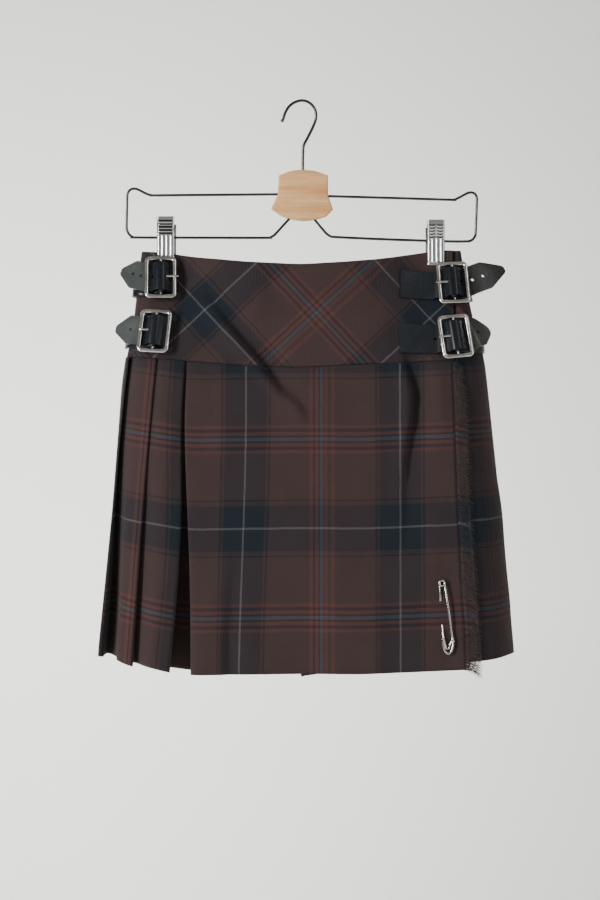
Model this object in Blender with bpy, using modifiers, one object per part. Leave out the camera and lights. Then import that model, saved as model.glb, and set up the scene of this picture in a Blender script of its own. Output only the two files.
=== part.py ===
"""Kilt skirt on a clip hanger, in metres, +Z up.

The origin is the inside top of the hanger's hook. The front of the skirt faces -Y.
Sizes below are millimetres; every mesh is scaled to metres as it is made.
Going round the cloth, a station is the length along the tube from the middle of the
front, counted anticlockwise seen from above.
"""
import math

import bmesh
import bpy
from mathutils import Matrix, Vector

MM = 0.001
GAP = 0.3
SEAM_GAP = 0.5

CLOTH = 1.2
YOKE_CLOTH = 1.5
LEATHER = 2.0
CHAPE_LEATHER = 1.4

SKIRT_LENGTH = 301.0
PLEAT_CLOTH = 67.0
INVERTED_PLEAT_CLOTH = 107.0
BACK_PLEATS = 13
BACK_SPLIT = 7
PANEL_TOP = 31.0
PANEL_HEM = 37.0
SHOULDER = 1.5
C_TUCK_TOP = 20.0
C_TUCK_HEM = 18.0
FOLD_PITCH_TOP = 1.7
FOLD_PITCH_HEM = 4.4
FOLD_OVERLAP = 2.5
UNDERLAY_SINK = 7.0
HEM_LIFT = 3.2
A_SPLAY_TOP = 3.0
A_SPLAY_HEM = 8.5
BACK_SPLAY = 3.2
BACK_SPLAY_SWING = 2.8
RETURN_BEND = 12.0
APRON_STEPS = 14

# The under apron: where it begins, how deep it lies behind the apron, and how it comes
# forward at the apron's cut edge and past the fringe.
UNDER_START = -106.0
UNDER_DEPTH_TOP = 6.0
UNDER_DEPTH_HEM = 20.0
UNDER_RISE = 14.0
UNDER_STEPS = 11
CUT_DEPTH = 5.2
FRAY_DEPTH = 3.4
FRAY_CLEAR = 3.0

# Skirt sections: length down from the seam, left and right ends of the tube, its half
# depth, and the fold edges of the apron (e), the first pleat (c) and the second (b).
SKIRT_COLUMNS = ("down", "left", "right", "half", "e_fold", "c_fold", "b_fold", "cut", "fray")
SKIRT_SECTIONS = [
    (0, -174.5, 178.0, 34, -112.4, -115.4, -143.0, 148.0, 160.0),
    (17, -179.0, 183.0, 37, -113.8, -116.8, -145.0, 148.6, 163.0),
    (56, -182.0, 187.5, 40, -115.7, -118.9, -148.7, 150.0, 165.5),
    (100, -185.0, 192.0, 43, -114.6, -118.9, -152.8, 151.0, 166.5),
    (150, -188.5, 197.5, 46, -112.5, -118.4, -156.5, 153.0, 168.5),
    (200, -192.5, 203.0, 49, -110.4, -120.8, -160.5, 155.5, 172.0),
    (250, -197.0, 208.0, 52, -109.4, -124.6, -164.2, 158.3, 175.0),
    (301, -201.5, 213.0, 55, -109.2, -130.0, -167.7, 160.8, 176.5),
]

# Yoke sections: share of the way down, ends of the tube, radius of its ends, half depth
# in the middle and half depth where the clips pinch it.
YOKE_COLUMNS = ("share", "left", "right", "round", "middle", "pinched")
YOKE_SECTIONS = [
    (0.0, -159.5, 158.0, 5, 18, 2.6),
    (0.15, -162.0, 160.5, 6, 21, 2.7),
    (0.28, -163.8, 163.0, 10, 24, 7),
    (0.5, -166.0, 166.5, 16, 28, 17),
    (0.75, -169.0, 171.5, 25, 31, 26),
    (1.0, -174.5, 178.0, 34, 34, 34),
]
CLIP_X = (-136.0, 133.5)
PINCH_FLAT = 11.0
PINCH_REACH = 38.0

# Heights of the cloth's edges by place across the front.
TOP_EDGE = [(-160, -150), (-146, -150), (-126, -152.5), (-108, -155.5), (-58, -160.8),
            (-2, -163.6), (46, -160.8), (78, -158), (118, -151.5), (142, -148), (160, -149.5)]
FRONT_SEAM = [(-175, -255), (-142, -257.5), (-58, -264.6), (-2, -266.2), (54, -263.4),
              (110, -261.2), (150, -258.8), (178, -255)]
UNDER_SEAM = [(-175, -262), (-100, -263), (0, -262), (100, -256), (150, -249), (178, -244.5)]
SIDE_SEAM = [(-175, -255), (-142, -257.5), (0, -262), (150, -249), (178, -244.5)]
BACK_SEAM = [(-175, -255), (-100, -271), (0, -279), (100, -269), (178, -244.5)]
FRONT_HEM = [(-202, -551), (-175, -559), (-130, -566), (-109, -568.5), (0, -567), (60, -567.5), (165, -563)]
UNDER_HEM = [(-175, -560), (0, -562), (150, -557), (190, -554), (213, -549)]
SIDE_HEM = [(-202, -551), (0, -562), (150, -557), (190, -554), (213, -549)]
BACK_HEM = [(-202, -551), (-100, -573), (0, -580), (100, -572), (213, -549)]

# The largest fold, a soft trough from the yoke down across the apron.
TROUGH_COLUMNS = ("x", "z", "depth")
TROUGH = [(-98, -183, 0.0), (-80, -203, 2.0), (-61, -230, 4.0), (-43, -255, 4.2), (-30, -281, 3.2),
          (-2, -306, 1.6), (4, -324, 0.0)]
TROUGH_WIDTH = 10.0

LEFT_SEAM_INSET = 5.0
END_STEP = 1.0
OVER_YOKE_RIGHT = 150.5
OVER_YOKE_STEPS = 26
SIDE_SEAM_ANGLE = 1.75

# The under yoke: its free end, the inset where it begins to come forward, the clearance
# past the over yoke's end, and its depth there at the top and lower down.
UNDER_YOKE_END = -113.0
UNDER_YOKE_STEPS = 18
UNDER_YOKE_INSET = 6.0
UNDER_YOKE_CLEAR = 4.0
UNDER_YOKE_TURN_TOP = 2.4
UNDER_YOKE_TURN_GROWTH = 3.0

FRINGE_STRANDS = 100
FRINGE_STRIP = 2.6
FRINGE_DROP = 7.0

STRAP_WIDTH = 30.0
BUCKLE_WIDTH = 32.0
BUCKLE_HEIGHT = 45.2
BUCKLE_BAR = 4.6
BUCKLE_CENTRE_BAR = 2.6
BUCKLE_PLATE = 2.4
BUCKLE_LIFT = 5.5

# Buckles: where the frame's middle lies, how far it is rolled anticlockwise, the side the
# strap's tip points to, the length of the tip and of its point, how far the tip bends back
# and how far it turns up, its hole, the side the prong points to, and where the strap begins.
BUCKLE_COLUMNS = ("name", "x", "z", "roll", "tip_side", "tip", "point", "bend", "turn", "hole",
                  "prong_side", "tail")
BUCKLES = [
    ("left_upper", -140.9, -179.3, 1.0, -1, 40.5, 12.5, 3.0, 17.0, 27.4, 1, 15.8),
    ("left_lower", -145.0, -232.1, -6.0, -1, 40.5, 14.0, 5.0, 4.0, 24.0, -1, 15.8),
    ("right_upper", 149.9, -184.5, 4.0, 1, 57.0, 21.5, 8.0, 22.0, 32.0, -1, 52.3),
    ("right_lower", 150.9, -237.2, 8.0, 1, 39.5, 13.0, 16.0, 17.0, 23.6, -1, 54.0),
]

# The point of a strap: share of its half width by the share of the way from its tip.
POINT = [(0.0, 0.12), (0.04, 0.22), (0.12, 0.32), (1.0, 1.0)]

WIRE_RADIUS = 1.35
HOOK_RADIUS = 1.5
CLIP_WIDTH = 17.0


def row_dicts(columns, rows):
    """Name the columns of a table."""
    return [dict(zip(columns, row)) for row in rows]


SKIRT = row_dicts(SKIRT_COLUMNS, SKIRT_SECTIONS)
YOKE = row_dicts(YOKE_COLUMNS, YOKE_SECTIONS)


def ramp(table, at):
    """Read a value from a table of (place, value)."""
    if at <= table[0][0]:
        return table[0][1]
    for (a, low), (b, high) in zip(table, table[1:]):
        if at <= b:
            share = (at - a) / (b - a)
            return low + (high - low) * share
    return table[-1][1]


def section(table, key, at):
    """Work out a section between two rows of a table."""
    if at <= table[0][key]:
        return dict(table[0])
    for low, high in zip(table, table[1:]):
        if at <= high[key]:
            share = (at - low[key]) / (high[key] - low[key])
            return {name: low[name] + (high[name] - low[name]) * share for name in low}
    return dict(table[-1])


def ease(share):
    """A soft step from 0 to 1."""
    share = min(1.0, max(0.0, share))
    return share * share * (3 - 2 * share)


def collection(name):
    """Make a collection in the scene."""
    group = bpy.data.collections.new(name)
    bpy.context.scene.collection.children.link(group)
    return group


def material(name, colour, roughness, metallic=0.0):
    """A Principled material of one colour."""
    made = bpy.data.materials.get(name)
    if made:
        return made
    made = bpy.data.materials.new(name)
    made.use_nodes = True
    shader = made.node_tree.nodes["Principled BSDF"]
    shader.inputs["Base Color"].default_value = (*colour, 1.0)
    shader.inputs["Roughness"].default_value = roughness
    shader.inputs["Metallic"].default_value = metallic
    return made


def tartan_wool():
    return material("tartan_wool", (0.045, 0.032, 0.034), 0.9)


def black_leather():
    return material("black_leather", (0.022, 0.026, 0.033), 0.5)


def nickel():
    return material("nickel", (0.62, 0.60, 0.57), 0.3, 1.0)


def chrome():
    return material("chrome", (0.75, 0.75, 0.75), 0.18, 1.0)


def dark_steel():
    return material("dark_steel", (0.10, 0.09, 0.085), 0.4, 1.0)


def beech():
    return material("beech", (0.72, 0.48, 0.32), 0.55)


def tube_length(left, right, radius):
    """Length round a flat tube with round ends."""
    return 2 * (right - left - 2 * radius) + 2 * math.pi * radius


def tube_point(left, right, radius, station):
    """Point on a flat tube with round ends, at a station from the middle of the front."""
    straight = right - left - 2 * radius
    bend = math.pi * radius
    along = (station - (left + radius)) % tube_length(left, right, radius)
    if along <= straight:
        return left + radius + along, -radius
    along -= straight
    if along <= bend:
        angle = along / radius
        return right - radius + radius * math.sin(angle), -radius * math.cos(angle)
    along -= bend
    if along <= straight:
        return right - radius - along, radius
    angle = (along - straight) / radius
    return left + radius - radius * math.sin(angle), radius * math.cos(angle)


def front_station(left, right, radius, x):
    """Station of a place across the front."""
    if x < left + radius:
        turn = min(1.0, (left + radius - x) / radius)
        return left + radius - radius * math.asin(turn)
    if x > right - radius:
        turn = min(1.0, (x - right + radius) / radius)
        return right - radius + radius * math.asin(turn)
    return x


def side_weight(y, half):
    """0 on the front, 1 on the back."""
    return ease((y / half + 1) / 2)


def trough_depth(x, z):
    """Depth of the large soft fold at a place on the front."""
    deepest = 0.0
    marks = row_dicts(TROUGH_COLUMNS, TROUGH)
    for low, high in zip(marks, marks[1:]):
        run = Vector((high["x"] - low["x"], high["z"] - low["z"]))
        share = (Vector((x - low["x"], z - low["z"])) @ run) / run.length_squared
        share = min(1.0, max(0.0, share))
        foot = Vector((low["x"], low["z"])) + run * share
        away = (Vector((x, z)) - foot).length / TROUGH_WIDTH
        depth = low["depth"] + (high["depth"] - low["depth"]) * share
        deepest = max(deepest, depth * math.exp(-away * away))
    return deepest


def skirt_base(level, station):
    """Point on the skirt's outermost tube."""
    return tube_point(level["left"], level["right"], level["half"], station)


def yoke_base(level, station):
    """Point on the yoke's tube, which the clips pinch."""
    radius = level["round"]
    x, y = tube_point(level["left"], level["right"], radius, station)
    away = min(max(0.0, abs(x - clip) - PINCH_FLAT) for clip in CLIP_X)
    pinch = math.exp(-((away / PINCH_REACH) ** 2))
    half = level["middle"] + (level["pinched"] - level["middle"]) * pinch
    return x, y * half / radius


def inward(base, level, station):
    """Unit vector that points into the tube at a station."""
    x0, y0 = base(level, station - 1.0)
    x1, y1 = base(level, station + 1.0)
    length = math.hypot(x1 - x0, y1 - y0)
    return -(y1 - y0) / length, (x1 - x0) / length


def layered(base, level, station, depth):
    """Point of the tube moved in by a depth."""
    x, y = base(level, station)
    nx, ny = inward(base, level, station)
    return x + nx * depth, y + ny * depth


def sheet(name, rows, thickness, look, group):
    """A wall of cloth or leather round a grid of middle points, top row first."""
    bm = bmesh.new()
    across = len(rows[0])
    bmesh.ops.create_grid(bm, x_segments=across - 1, y_segments=len(rows) - 1, size=1)
    bm.verts.ensure_lookup_table()
    for row, points in enumerate(rows):
        for column, point in enumerate(points):
            bm.verts[row * across + column].co = Vector(point) * MM
    made = mesh_object(name, bm, look, group)
    wall = made.modifiers.new("wall", "SOLIDIFY")
    wall.thickness = thickness * MM
    wall.offset = 0.0
    wall.use_even_offset = True
    wall.use_quality_normals = True
    return made


def mesh_object(name, bm, look, group):
    """Turn a bmesh into a named object."""
    mesh = bpy.data.meshes.new(name)
    bm.to_mesh(mesh)
    bm.free()
    mesh.shade_smooth()
    mesh.set_sharp_from_angle(angle=math.radians(40))
    made = bpy.data.objects.new(name, mesh)
    made.data.materials.append(look)
    group.objects.link(made)
    return made


def skirt_rows(columns, heights):
    """Rows of points for a piece of the skirt.

    columns gives the station and depth by level, and how far the hem is lifted there.
    """
    rows = []
    for level in SKIRT:
        row = []
        for station, depth, *rise in columns(level):
            x, y = layered(skirt_base, level, station, depth)
            share = level["down"] / SKIRT_LENGTH
            lift = rise[0] * share * share if rise else 0.0
            row.append((x, y, heights(x, y, level["half"], share) + lift))
        rows.append(row)
    return rows


def blended(front, back, x, y, half):
    """Height between a front and a back edge."""
    weight = side_weight(y, half)
    return ramp(front, x) * (1 - weight) + ramp(back, x) * weight


def hanging_height(seam, hem):
    """Heights between a front seam and hem, which run into the back's round the sides."""
    def height(x, y, half, share):
        top = blended(seam, BACK_SEAM, x, y, half) - SEAM_GAP
        return top + (blended(hem, BACK_HEM, x, y, half) - top) * share
    return height


outer_height = hanging_height(FRONT_SEAM, FRONT_HEM)
under_height = hanging_height(UNDER_SEAM, UNDER_HEM)
side_height = hanging_height(SIDE_SEAM, SIDE_HEM)


def section_mix(level, top, hem):
    """A size that grows evenly from the seam to the hem."""
    return top + (hem - top) * level["down"] / SKIRT_LENGTH


def pitch(level):
    """Distance between the layers of a pleat."""
    return section_mix(level, FOLD_PITCH_TOP, FOLD_PITCH_HEM)


def round_length(level):
    """Length round the skirt's tube."""
    return tube_length(level["left"], level["right"], level["half"])


def fold_stations(level):
    """Stations of all fold edges that point anticlockwise, the back ones first."""
    whole = round_length(level)
    b_fold = front_station(level["left"], level["right"], level["half"], level["b_fold"]) + whole
    step = section_mix(level, PANEL_TOP, PANEL_HEM)
    a_fold = b_fold - step
    back = [a_fold - step * (BACK_PLEATS - k) for k in range(BACK_PLEATS)]
    return back + [a_fold, b_fold, level["c_fold"] + whole]


def splay(index, level):
    """How far a fold edge stands out from the tube."""
    share = level["down"] / SKIRT_LENGTH
    if index == BACK_PLEATS:
        return A_SPLAY_TOP + (A_SPLAY_HEM - A_SPLAY_TOP) * share
    if index > BACK_PLEATS:
        return 0.0
    return (BACK_SPLAY + BACK_SPLAY_SWING * math.sin(2.3 * index + 0.4)) * share


def tuck(level, index):
    """Depth of the tuck behind a fold edge."""
    folds = fold_stations(level)
    if index == BACK_PLEATS + 2:
        return section_mix(level, C_TUCK_TOP, C_TUCK_HEM)
    panel = folds[index] - folds[index - 1] if index else folds[1] - folds[0]
    return (PLEAT_CLOTH - panel) / 2


def pleat_columns(level, first, last):
    """Stations and depths of knife pleats, each from its inner fold to its next tuck.

    Each pleat has its inner fold, the shoulder where its layers begin, its panel, its
    fold edge and the return to the next inner fold.
    """
    folds = fold_stations(level)
    step = pitch(level)
    columns = []
    for index in range(first, last):
        edge = folds[index]
        out = -splay(index, level)
        if index:
            columns.append((folds[index - 1] - tuck(level, index - 1), 2 * step, HEM_LIFT))
            columns.append((folds[index - 1] + FOLD_OVERLAP, 2 * step, HEM_LIFT))
        shoulder = edge - tuck(level, index) - SHOULDER
        columns.append((shoulder, 0.0, HEM_LIFT * 0.6))
        columns.append(((shoulder + edge) / 2, out * 0.4, HEM_LIFT * 0.3))
        columns.append((edge, out))
        columns.append((edge, out + step))
        columns.append((edge - tuck(level, index), step, HEM_LIFT))
    return columns


def inverted_return(level):
    """Depth of the apron's half of the inverted pleat."""
    opening = level["e_fold"] - level["c_fold"]
    return (INVERTED_PLEAT_CLOTH - opening) / 2 - section_mix(level, C_TUCK_TOP, C_TUCK_HEM)


def over_apron_columns(level):
    """The apron: its return from the inner fold, its left fold and its panel."""
    step = pitch(level)
    edge = level["e_fold"]
    right = front_station(level["left"], level["right"], level["half"], level["cut"])
    columns = [(edge + inverted_return(level), step), (edge + RETURN_BEND, step), (edge, step)]
    for k in range(APRON_STEPS + 1):
        columns.append((edge + (right - edge) * k / APRON_STEPS, 0.0))
    return columns


def over_apron(group):
    rows = skirt_rows(over_apron_columns, outer_height)
    for row in rows:
        for k in range(3, len(row)):
            x, y, z = row[k]
            row[k] = (x, y + trough_depth(x, z), z)
    return sheet("over_apron", rows, CLOTH, tartan_wool(), group)


def left_pleat_columns(level):
    """Pleats a, b and c, then the underlay of the inverted pleat."""
    c_fold = fold_stations(level)[-1]
    columns = pleat_columns(level, BACK_PLEATS, BACK_PLEATS + 3)
    step = pitch(level)
    end = level["e_fold"] + round_length(level) + inverted_return(level) - 1.0
    deep = 2 * step + section_mix(level, 0.0, UNDERLAY_SINK)
    columns.append((c_fold - tuck(level, BACK_PLEATS + 2), 2 * step, HEM_LIFT))
    columns.append((c_fold - 3.0, deep, HEM_LIFT))
    columns.append((end, deep, HEM_LIFT))
    return columns


def left_pleats(group):
    rows = skirt_rows(left_pleat_columns, outer_height)
    return sheet("left_pleats", rows, CLOTH, tartan_wool(), group)


def back_pleats(group):
    """The back pleats, in two lengths parted at an inner fold."""
    spans = [("back_pleats_right", 0, BACK_SPLIT), ("back_pleats_left", BACK_SPLIT, BACK_PLEATS)]
    for name, first, last in spans:
        def columns(level, first=first, last=last):
            return pleat_columns(level, first, last)
        sheet(name, skirt_rows(columns, side_height), CLOTH, tartan_wool(), group)


def under_apron_columns(level):
    """The under apron, from its free edge behind the apron round the right side."""
    deep = section_mix(level, UNDER_DEPTH_TOP, UNDER_DEPTH_HEM)
    left, right, half = level["left"], level["right"], level["half"]
    cut = front_station(left, right, half, level["cut"])
    fray = front_station(left, right, half, level["fray"])
    folds = fold_stations(level)
    columns = []
    behind = cut - UNDER_RISE
    for k in range(UNDER_STEPS + 1):
        columns.append((UNDER_START + (behind - UNDER_START) * k / UNDER_STEPS, deep))
    columns.append((cut, CUT_DEPTH))
    clear = fray + FRAY_CLEAR
    end = folds[0] - tuck(level, 0) - SHOULDER - GAP
    for share in (0.0, 1 / 3, 2 / 3, 1.0):
        columns.append((clear + (end - clear) * share, FRAY_DEPTH * (1 - share)))
    return columns


def under_apron(group):
    rows = skirt_rows(under_apron_columns, under_height)
    return sheet("under_apron", rows, CLOTH, tartan_wool(), group)


def yoke_height(x, y, half, share, seam):
    """Height on the yoke between its top edge and a seam."""
    top = ramp(TOP_EDGE, x)
    return top + (blended(seam, BACK_SEAM, x, y, half) - top) * share


def tube_half(level):
    """Half depth that tells the yoke's front from its back."""
    return max(level["middle"], 20)


def yoke_rows(columns, seam, shares):
    """Rows of points for a piece of the yoke: columns gives (station, depth) by level."""
    rows = []
    for share in shares:
        level = section(YOKE, "share", share)
        row = []
        for station, depth in columns(level):
            x, y = layered(yoke_base, level, station, depth)
            row.append((x, y, yoke_height(x, y, tube_half(level), share, seam)))
        rows.append(row)
    return rows


YOKE_SHARES = [0.0, 0.15, 0.28, 0.5, 0.75, 1.0]


def spread(first, last, count):
    """Even stations, with one more close to each end so that the ends stand square."""
    inner = [first + (last - first) * k / count for k in range(1, count)]
    return [first, first + END_STEP, *inner, last - END_STEP, last]


def yoke_station(level, x):
    """Station on the yoke of a place across the front."""
    return front_station(level["left"], level["right"], level["round"], x)


def over_yoke_columns(level):
    """From the left side seam to the folded right end."""
    first = yoke_station(level, level["left"] + LEFT_SEAM_INSET)
    last = yoke_station(level, OVER_YOKE_RIGHT)
    return [(station, 0.0) for station in spread(first, last, OVER_YOKE_STEPS)]


def over_yoke(group):
    rows = yoke_rows(over_yoke_columns, FRONT_SEAM, YOKE_SHARES)
    for row in rows:
        for k, (x, y, z) in enumerate(row):
            row[k] = (x, y + trough_depth(x, z), z)
    return sheet("over_yoke", rows, YOKE_CLOTH, tartan_wool(), group)


def side_seam(level):
    """Station of the right side seam."""
    return level["right"] - level["round"] + level["round"] * SIDE_SEAM_ANGLE


def back_yoke_columns(level):
    """From the right side seam round the back to the left side seam."""
    whole = tube_length(level["left"], level["right"], level["round"])
    first = side_seam(level) + SEAM_GAP
    last = over_yoke_columns(level)[0][0] + whole - SEAM_GAP
    turned = level["right"] - level["round"] * (1 - math.pi)
    turning = whole + level["left"] + level["round"] * (1 - math.pi)
    stations = (spread(first, turned, 5)[:-2] + spread(turned, turning, 20)[:-2]
                + spread(turning, last, 9))
    return [(station, 0.0) for station in stations]


def back_yoke(group):
    rows = yoke_rows(back_yoke_columns, SIDE_SEAM, YOKE_SHARES)
    return sheet("back_yoke", rows, YOKE_CLOTH, tartan_wool(), group)


def under_yoke_columns(level):
    """From the free end behind the over yoke to the right side seam."""
    columns = []
    last = yoke_station(level, OVER_YOKE_RIGHT) - UNDER_YOKE_INSET
    for k in range(UNDER_YOKE_STEPS + 1):
        station = UNDER_YOKE_END + (last - UNDER_YOKE_END) * k / UNDER_YOKE_STEPS
        half = abs(yoke_base(level, station)[1])
        columns.append((station, min(UNDER_DEPTH_TOP, half)))
    end = side_seam(level) - GAP
    turn = yoke_station(level, OVER_YOKE_RIGHT + UNDER_YOKE_CLEAR)
    half = abs(yoke_base(level, turn)[1])
    depth = UNDER_YOKE_TURN_TOP + UNDER_YOKE_TURN_GROWTH * level["share"] ** 2
    columns.append((turn, min(depth, half)))
    for k in range(1, 9):
        columns.append((turn + (end - turn) * k / 8, 0.0))
    return columns


def under_yoke(group):
    rows = yoke_rows(under_yoke_columns, UNDER_SEAM, YOKE_SHARES)
    return sheet("under_yoke", rows, YOKE_CLOTH, tartan_wool(), group)


def smooth_path(points, steps):
    """Points along a smooth curve through a route's own points."""
    ends = [points[0], *points, points[-1]]
    path = []
    for k in range(1, len(ends) - 2):
        p0, p1, p2, p3 = (Vector(ends[k + j]) for j in (-1, 0, 1, 2))
        for step in range(steps):
            t = step / steps
            path.append(0.5 * (2 * p1 + (p2 - p0) * t + (2 * p0 - 5 * p1 + 4 * p2 - p3) * t * t
                               + (3 * p1 - p0 - 3 * p2 + p3) * t ** 3))
    path.append(Vector(points[-1]))
    return path


def wire(name, path, radius, look, group):
    """A round wire along a path, as one closed mesh."""
    curve = bpy.data.curves.new(name, "CURVE")
    curve.dimensions = "3D"
    spline = curve.splines.new("POLY")
    spline.points.add(len(path) - 1)
    for point, place in zip(spline.points, path):
        point.co = (*(Vector(place) * MM), 1.0)
    curve.bevel_depth = radius * MM
    curve.bevel_resolution = 1
    curve.use_fill_caps = True
    return baked(name, curve, look, group)


def baked(name, curve, look, group):
    """Turn a curve into a welded mesh object."""
    guide = bpy.data.objects.new(name + "_guide", curve)
    group.objects.link(guide)
    graph = bpy.context.evaluated_depsgraph_get()
    mesh = bpy.data.meshes.new_from_object(guide.evaluated_get(graph))
    bpy.data.objects.remove(guide, do_unlink=True)
    bm = bmesh.new()
    bm.from_mesh(mesh)
    bmesh.ops.remove_doubles(bm, verts=bm.verts, dist=0.00001)
    bmesh.ops.recalc_face_normals(bm, faces=bm.faces)
    mesh.materials.clear()
    return mesh_object(name, bm, look, group)


def plate(name, outlines, thickness, rounding, look, group):
    """A flat plate in the XY plane from closed outlines, holes included."""
    curve = bpy.data.curves.new(name, "CURVE")
    curve.dimensions = "2D"
    curve.fill_mode = "BOTH"
    curve.extrude = (thickness / 2 - rounding) * MM
    curve.bevel_depth = rounding * MM
    curve.offset = -rounding * MM
    curve.bevel_resolution = 0
    for outline in outlines:
        spline = curve.splines.new("POLY")
        spline.use_cyclic_u = True
        spline.points.add(len(outline) - 1)
        for point, (x, y) in zip(spline.points, outline):
            point.co = (x * MM, y * MM, 0.0, 1.0)
    return baked(name, curve, look, group)


def cut(target, tool):
    """Cut a tool out of a piece."""
    boolean = target.modifiers.new("cut_" + tool.name, "BOOLEAN")
    boolean.operation = "DIFFERENCE"
    boolean.solver = "EXACT"
    boolean.object = tool
    tool.hide_render = True
    tool.display_type = "WIRE"


def round_box(width, height, corner, count=3):
    """Outline of a box with round corners."""
    outline = []
    for sx, sy, start in ((1, 1, 0), (-1, 1, 90), (-1, -1, 180), (1, -1, 270)):
        for k in range(count + 1):
            angle = math.radians(start + 90 * k / count)
            outline.append((sx * (width / 2 - corner) + corner * math.cos(angle),
                            sy * (height / 2 - corner) + corner * math.sin(angle)))
    return outline


def yoke_front(x, z):
    """Outer face of the yoke's front at a place seen from the front."""
    top = ramp(TOP_EDGE, x)
    seam = ramp(FRONT_SEAM if x < OVER_YOKE_RIGHT else SIDE_SEAM, x)
    level = section(YOKE, "share", (top - z) / (top - seam))
    return yoke_base(level, yoke_station(level, x))[1] - YOKE_CLOTH / 2


class Seat:
    """A flat frame of reference that lies on the yoke under a buckle.

    a runs across, b runs up and h stands out from the cloth, all from the buckle's middle.
    """

    def __init__(self, spec):
        self.spec = spec
        x, z, reach = spec["x"], spec["z"], 12.0
        slope_x = (yoke_front(x + reach, z) - yoke_front(x - reach, z)) / (2 * reach)
        slope_z = (yoke_front(x, z + reach) - yoke_front(x, z - reach)) / (2 * reach)
        self.n = Vector((slope_x, -1.0, slope_z)).normalized()
        roll = math.radians(spec["roll"])
        across = Vector((math.cos(roll), 0.0, math.sin(roll)))
        self.a = (across - self.n * across.dot(self.n)).normalized()
        self.b = self.n.cross(self.a)
        self.origin = Vector((x, yoke_front(x, z), z))
        corners = [(i * 8.0, j * 9.5) for i in (-2, -1, 0, 1, 2) for j in (-2, -1, 0, 1, 2)]
        self.base = max(self.cloth(a, b) for a, b in corners)

    def place(self, a, b, h):
        """A point from its distances across, up and out."""
        return self.origin + self.a * a + self.b * b + self.n * h

    def cloth(self, a, b):
        """Height of the cloth's outer face."""
        h = 0.0
        for _ in range(5):
            p = self.place(a, b, h)
            h += (yoke_front(p.x, p.z) - p.y) / self.n.y
        return h

    def matrix(self, h):
        """Placement of a piece that was made flat."""
        turn = Matrix((self.a, self.b, self.n)).transposed().to_4x4()
        return Matrix.Translation(self.place(0, 0, self.base + h) * MM) @ turn


LAID_FROM = -19.0
LAID_CLEAR = 0.6
TAIL_STEPS = 5
TURN_FROM = 7.0
TURN_REACH = 10.0
TAIL_RISE = 2.0
BEND_FROM = 19.0
PRONG_SLOT = (7.0, 4.0, 16.0)
PRONG_SLOT_AT = 6.8
HOLE_RADIUS = 1.7
STRAP_RISE = [(0.0, 10.5), (3.6, 9.9), (7.0, 6.4), (10.0, 2.9), (15.5, 2.9)]


def strap_columns(spec):
    """Places along a strap, counted from the buckle's middle towards its tip."""
    tail, tip = -spec["tail"], spec["tip"]
    over_bar = [-15.5, -10, -7, -3.6, 0, 3.6, 7, 10, 13, 16, 19, 22]
    run = [tail]
    if tail < LAID_FROM:
        run = [tail + (LAID_FROM - tail) * k / TAIL_STEPS for k in range(TAIL_STEPS + 1)]
    point = [tip - spec["point"] * share for share in (1.0, 0.5, 0.12, 0.04, 0.0)]
    return run + over_bar + [along for along in point if along > over_bar[-1] + 1]


def turned(spec, along, across):
    """A place on the strap, whose tip turns up past the frame and whose tail lies level."""
    angle = math.radians(spec["turn"]) * ease((along - TURN_FROM) / TURN_REACH)
    middle = TURN_FROM + TURN_REACH / 2
    if along < 0:
        angle = -math.radians(spec["roll"] + TAIL_RISE) * ease((-along - TURN_FROM) / TURN_REACH)
        middle = -middle
    past = max(0.0, along - middle) if along > 0 else min(0.0, along - middle)
    a = along - past + past * math.cos(angle) - across * math.sin(angle)
    b = past * math.sin(angle) + across * math.cos(angle)
    return a * spec["tip_side"], b


def strap(seat, group):
    """A strap from its sewn end, over the buckle's centre bar, to its point."""
    spec = seat.spec
    side, tip = spec["tip_side"], spec["tip"]
    rows = [[], [], [], [], []]
    for along in strap_columns(spec):
        width = STRAP_WIDTH / 2 * ramp(POINT, (tip - along) / spec["point"])
        for row, share in zip(rows, (1.0, 0.5, 0.0, -0.5, -1.0)):
            a, b = turned(spec, along, share * width)
            height = ramp(STRAP_RISE, abs(along)) + seat.base
            if along <= LAID_FROM:
                height = seat.cloth(a, b) + LAID_CLEAR + LEATHER / 2
            if along > BEND_FROM:
                height -= spec["bend"] * ((along - BEND_FROM) / (tip - BEND_FROM)) ** 1.5
            row.append(seat.place(a, b, height))
    if side < 0:
        rows = [list(reversed(row)) for row in rows]
    made = sheet("strap_" + spec["name"], rows, LEATHER, black_leather(), group)
    tools = bpy.data.collections["cutters"]
    slot = box("slot_" + spec["name"], PRONG_SLOT, tools)
    shift = Matrix.Translation((spec["prong_side"] * PRONG_SLOT_AT * MM, 0, 0))
    slot.matrix_world = seat.matrix(8.0) @ shift
    cut(made, slot)
    hole = drill("hole_" + spec["name"], HOLE_RADIUS, 24, tools)
    a, b = turned(spec, spec["hole"], 0.0)
    hole.matrix_world = seat.matrix(-4.0) @ Matrix.Translation((a * MM, b * MM, 0))
    cut(made, hole)
    return made


def box(name, size, group):
    """A box cutter."""
    bm = bmesh.new()
    bmesh.ops.create_cube(bm, size=1.0)
    bmesh.ops.scale(bm, vec=Vector(size) * MM, verts=bm.verts)
    mesh = bpy.data.meshes.new(name)
    bm.to_mesh(mesh)
    bm.free()
    made = bpy.data.objects.new(name, mesh)
    group.objects.link(made)
    return made


def drill(name, radius, length, group):
    """A round cutter along Z."""
    bm = bmesh.new()
    bmesh.ops.create_cone(bm, cap_ends=True, segments=10, radius1=radius * MM, radius2=radius * MM,
                          depth=length * MM)
    mesh = bpy.data.meshes.new(name)
    bm.to_mesh(mesh)
    bm.free()
    made = bpy.data.objects.new(name, mesh)
    group.objects.link(made)
    return made


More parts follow.
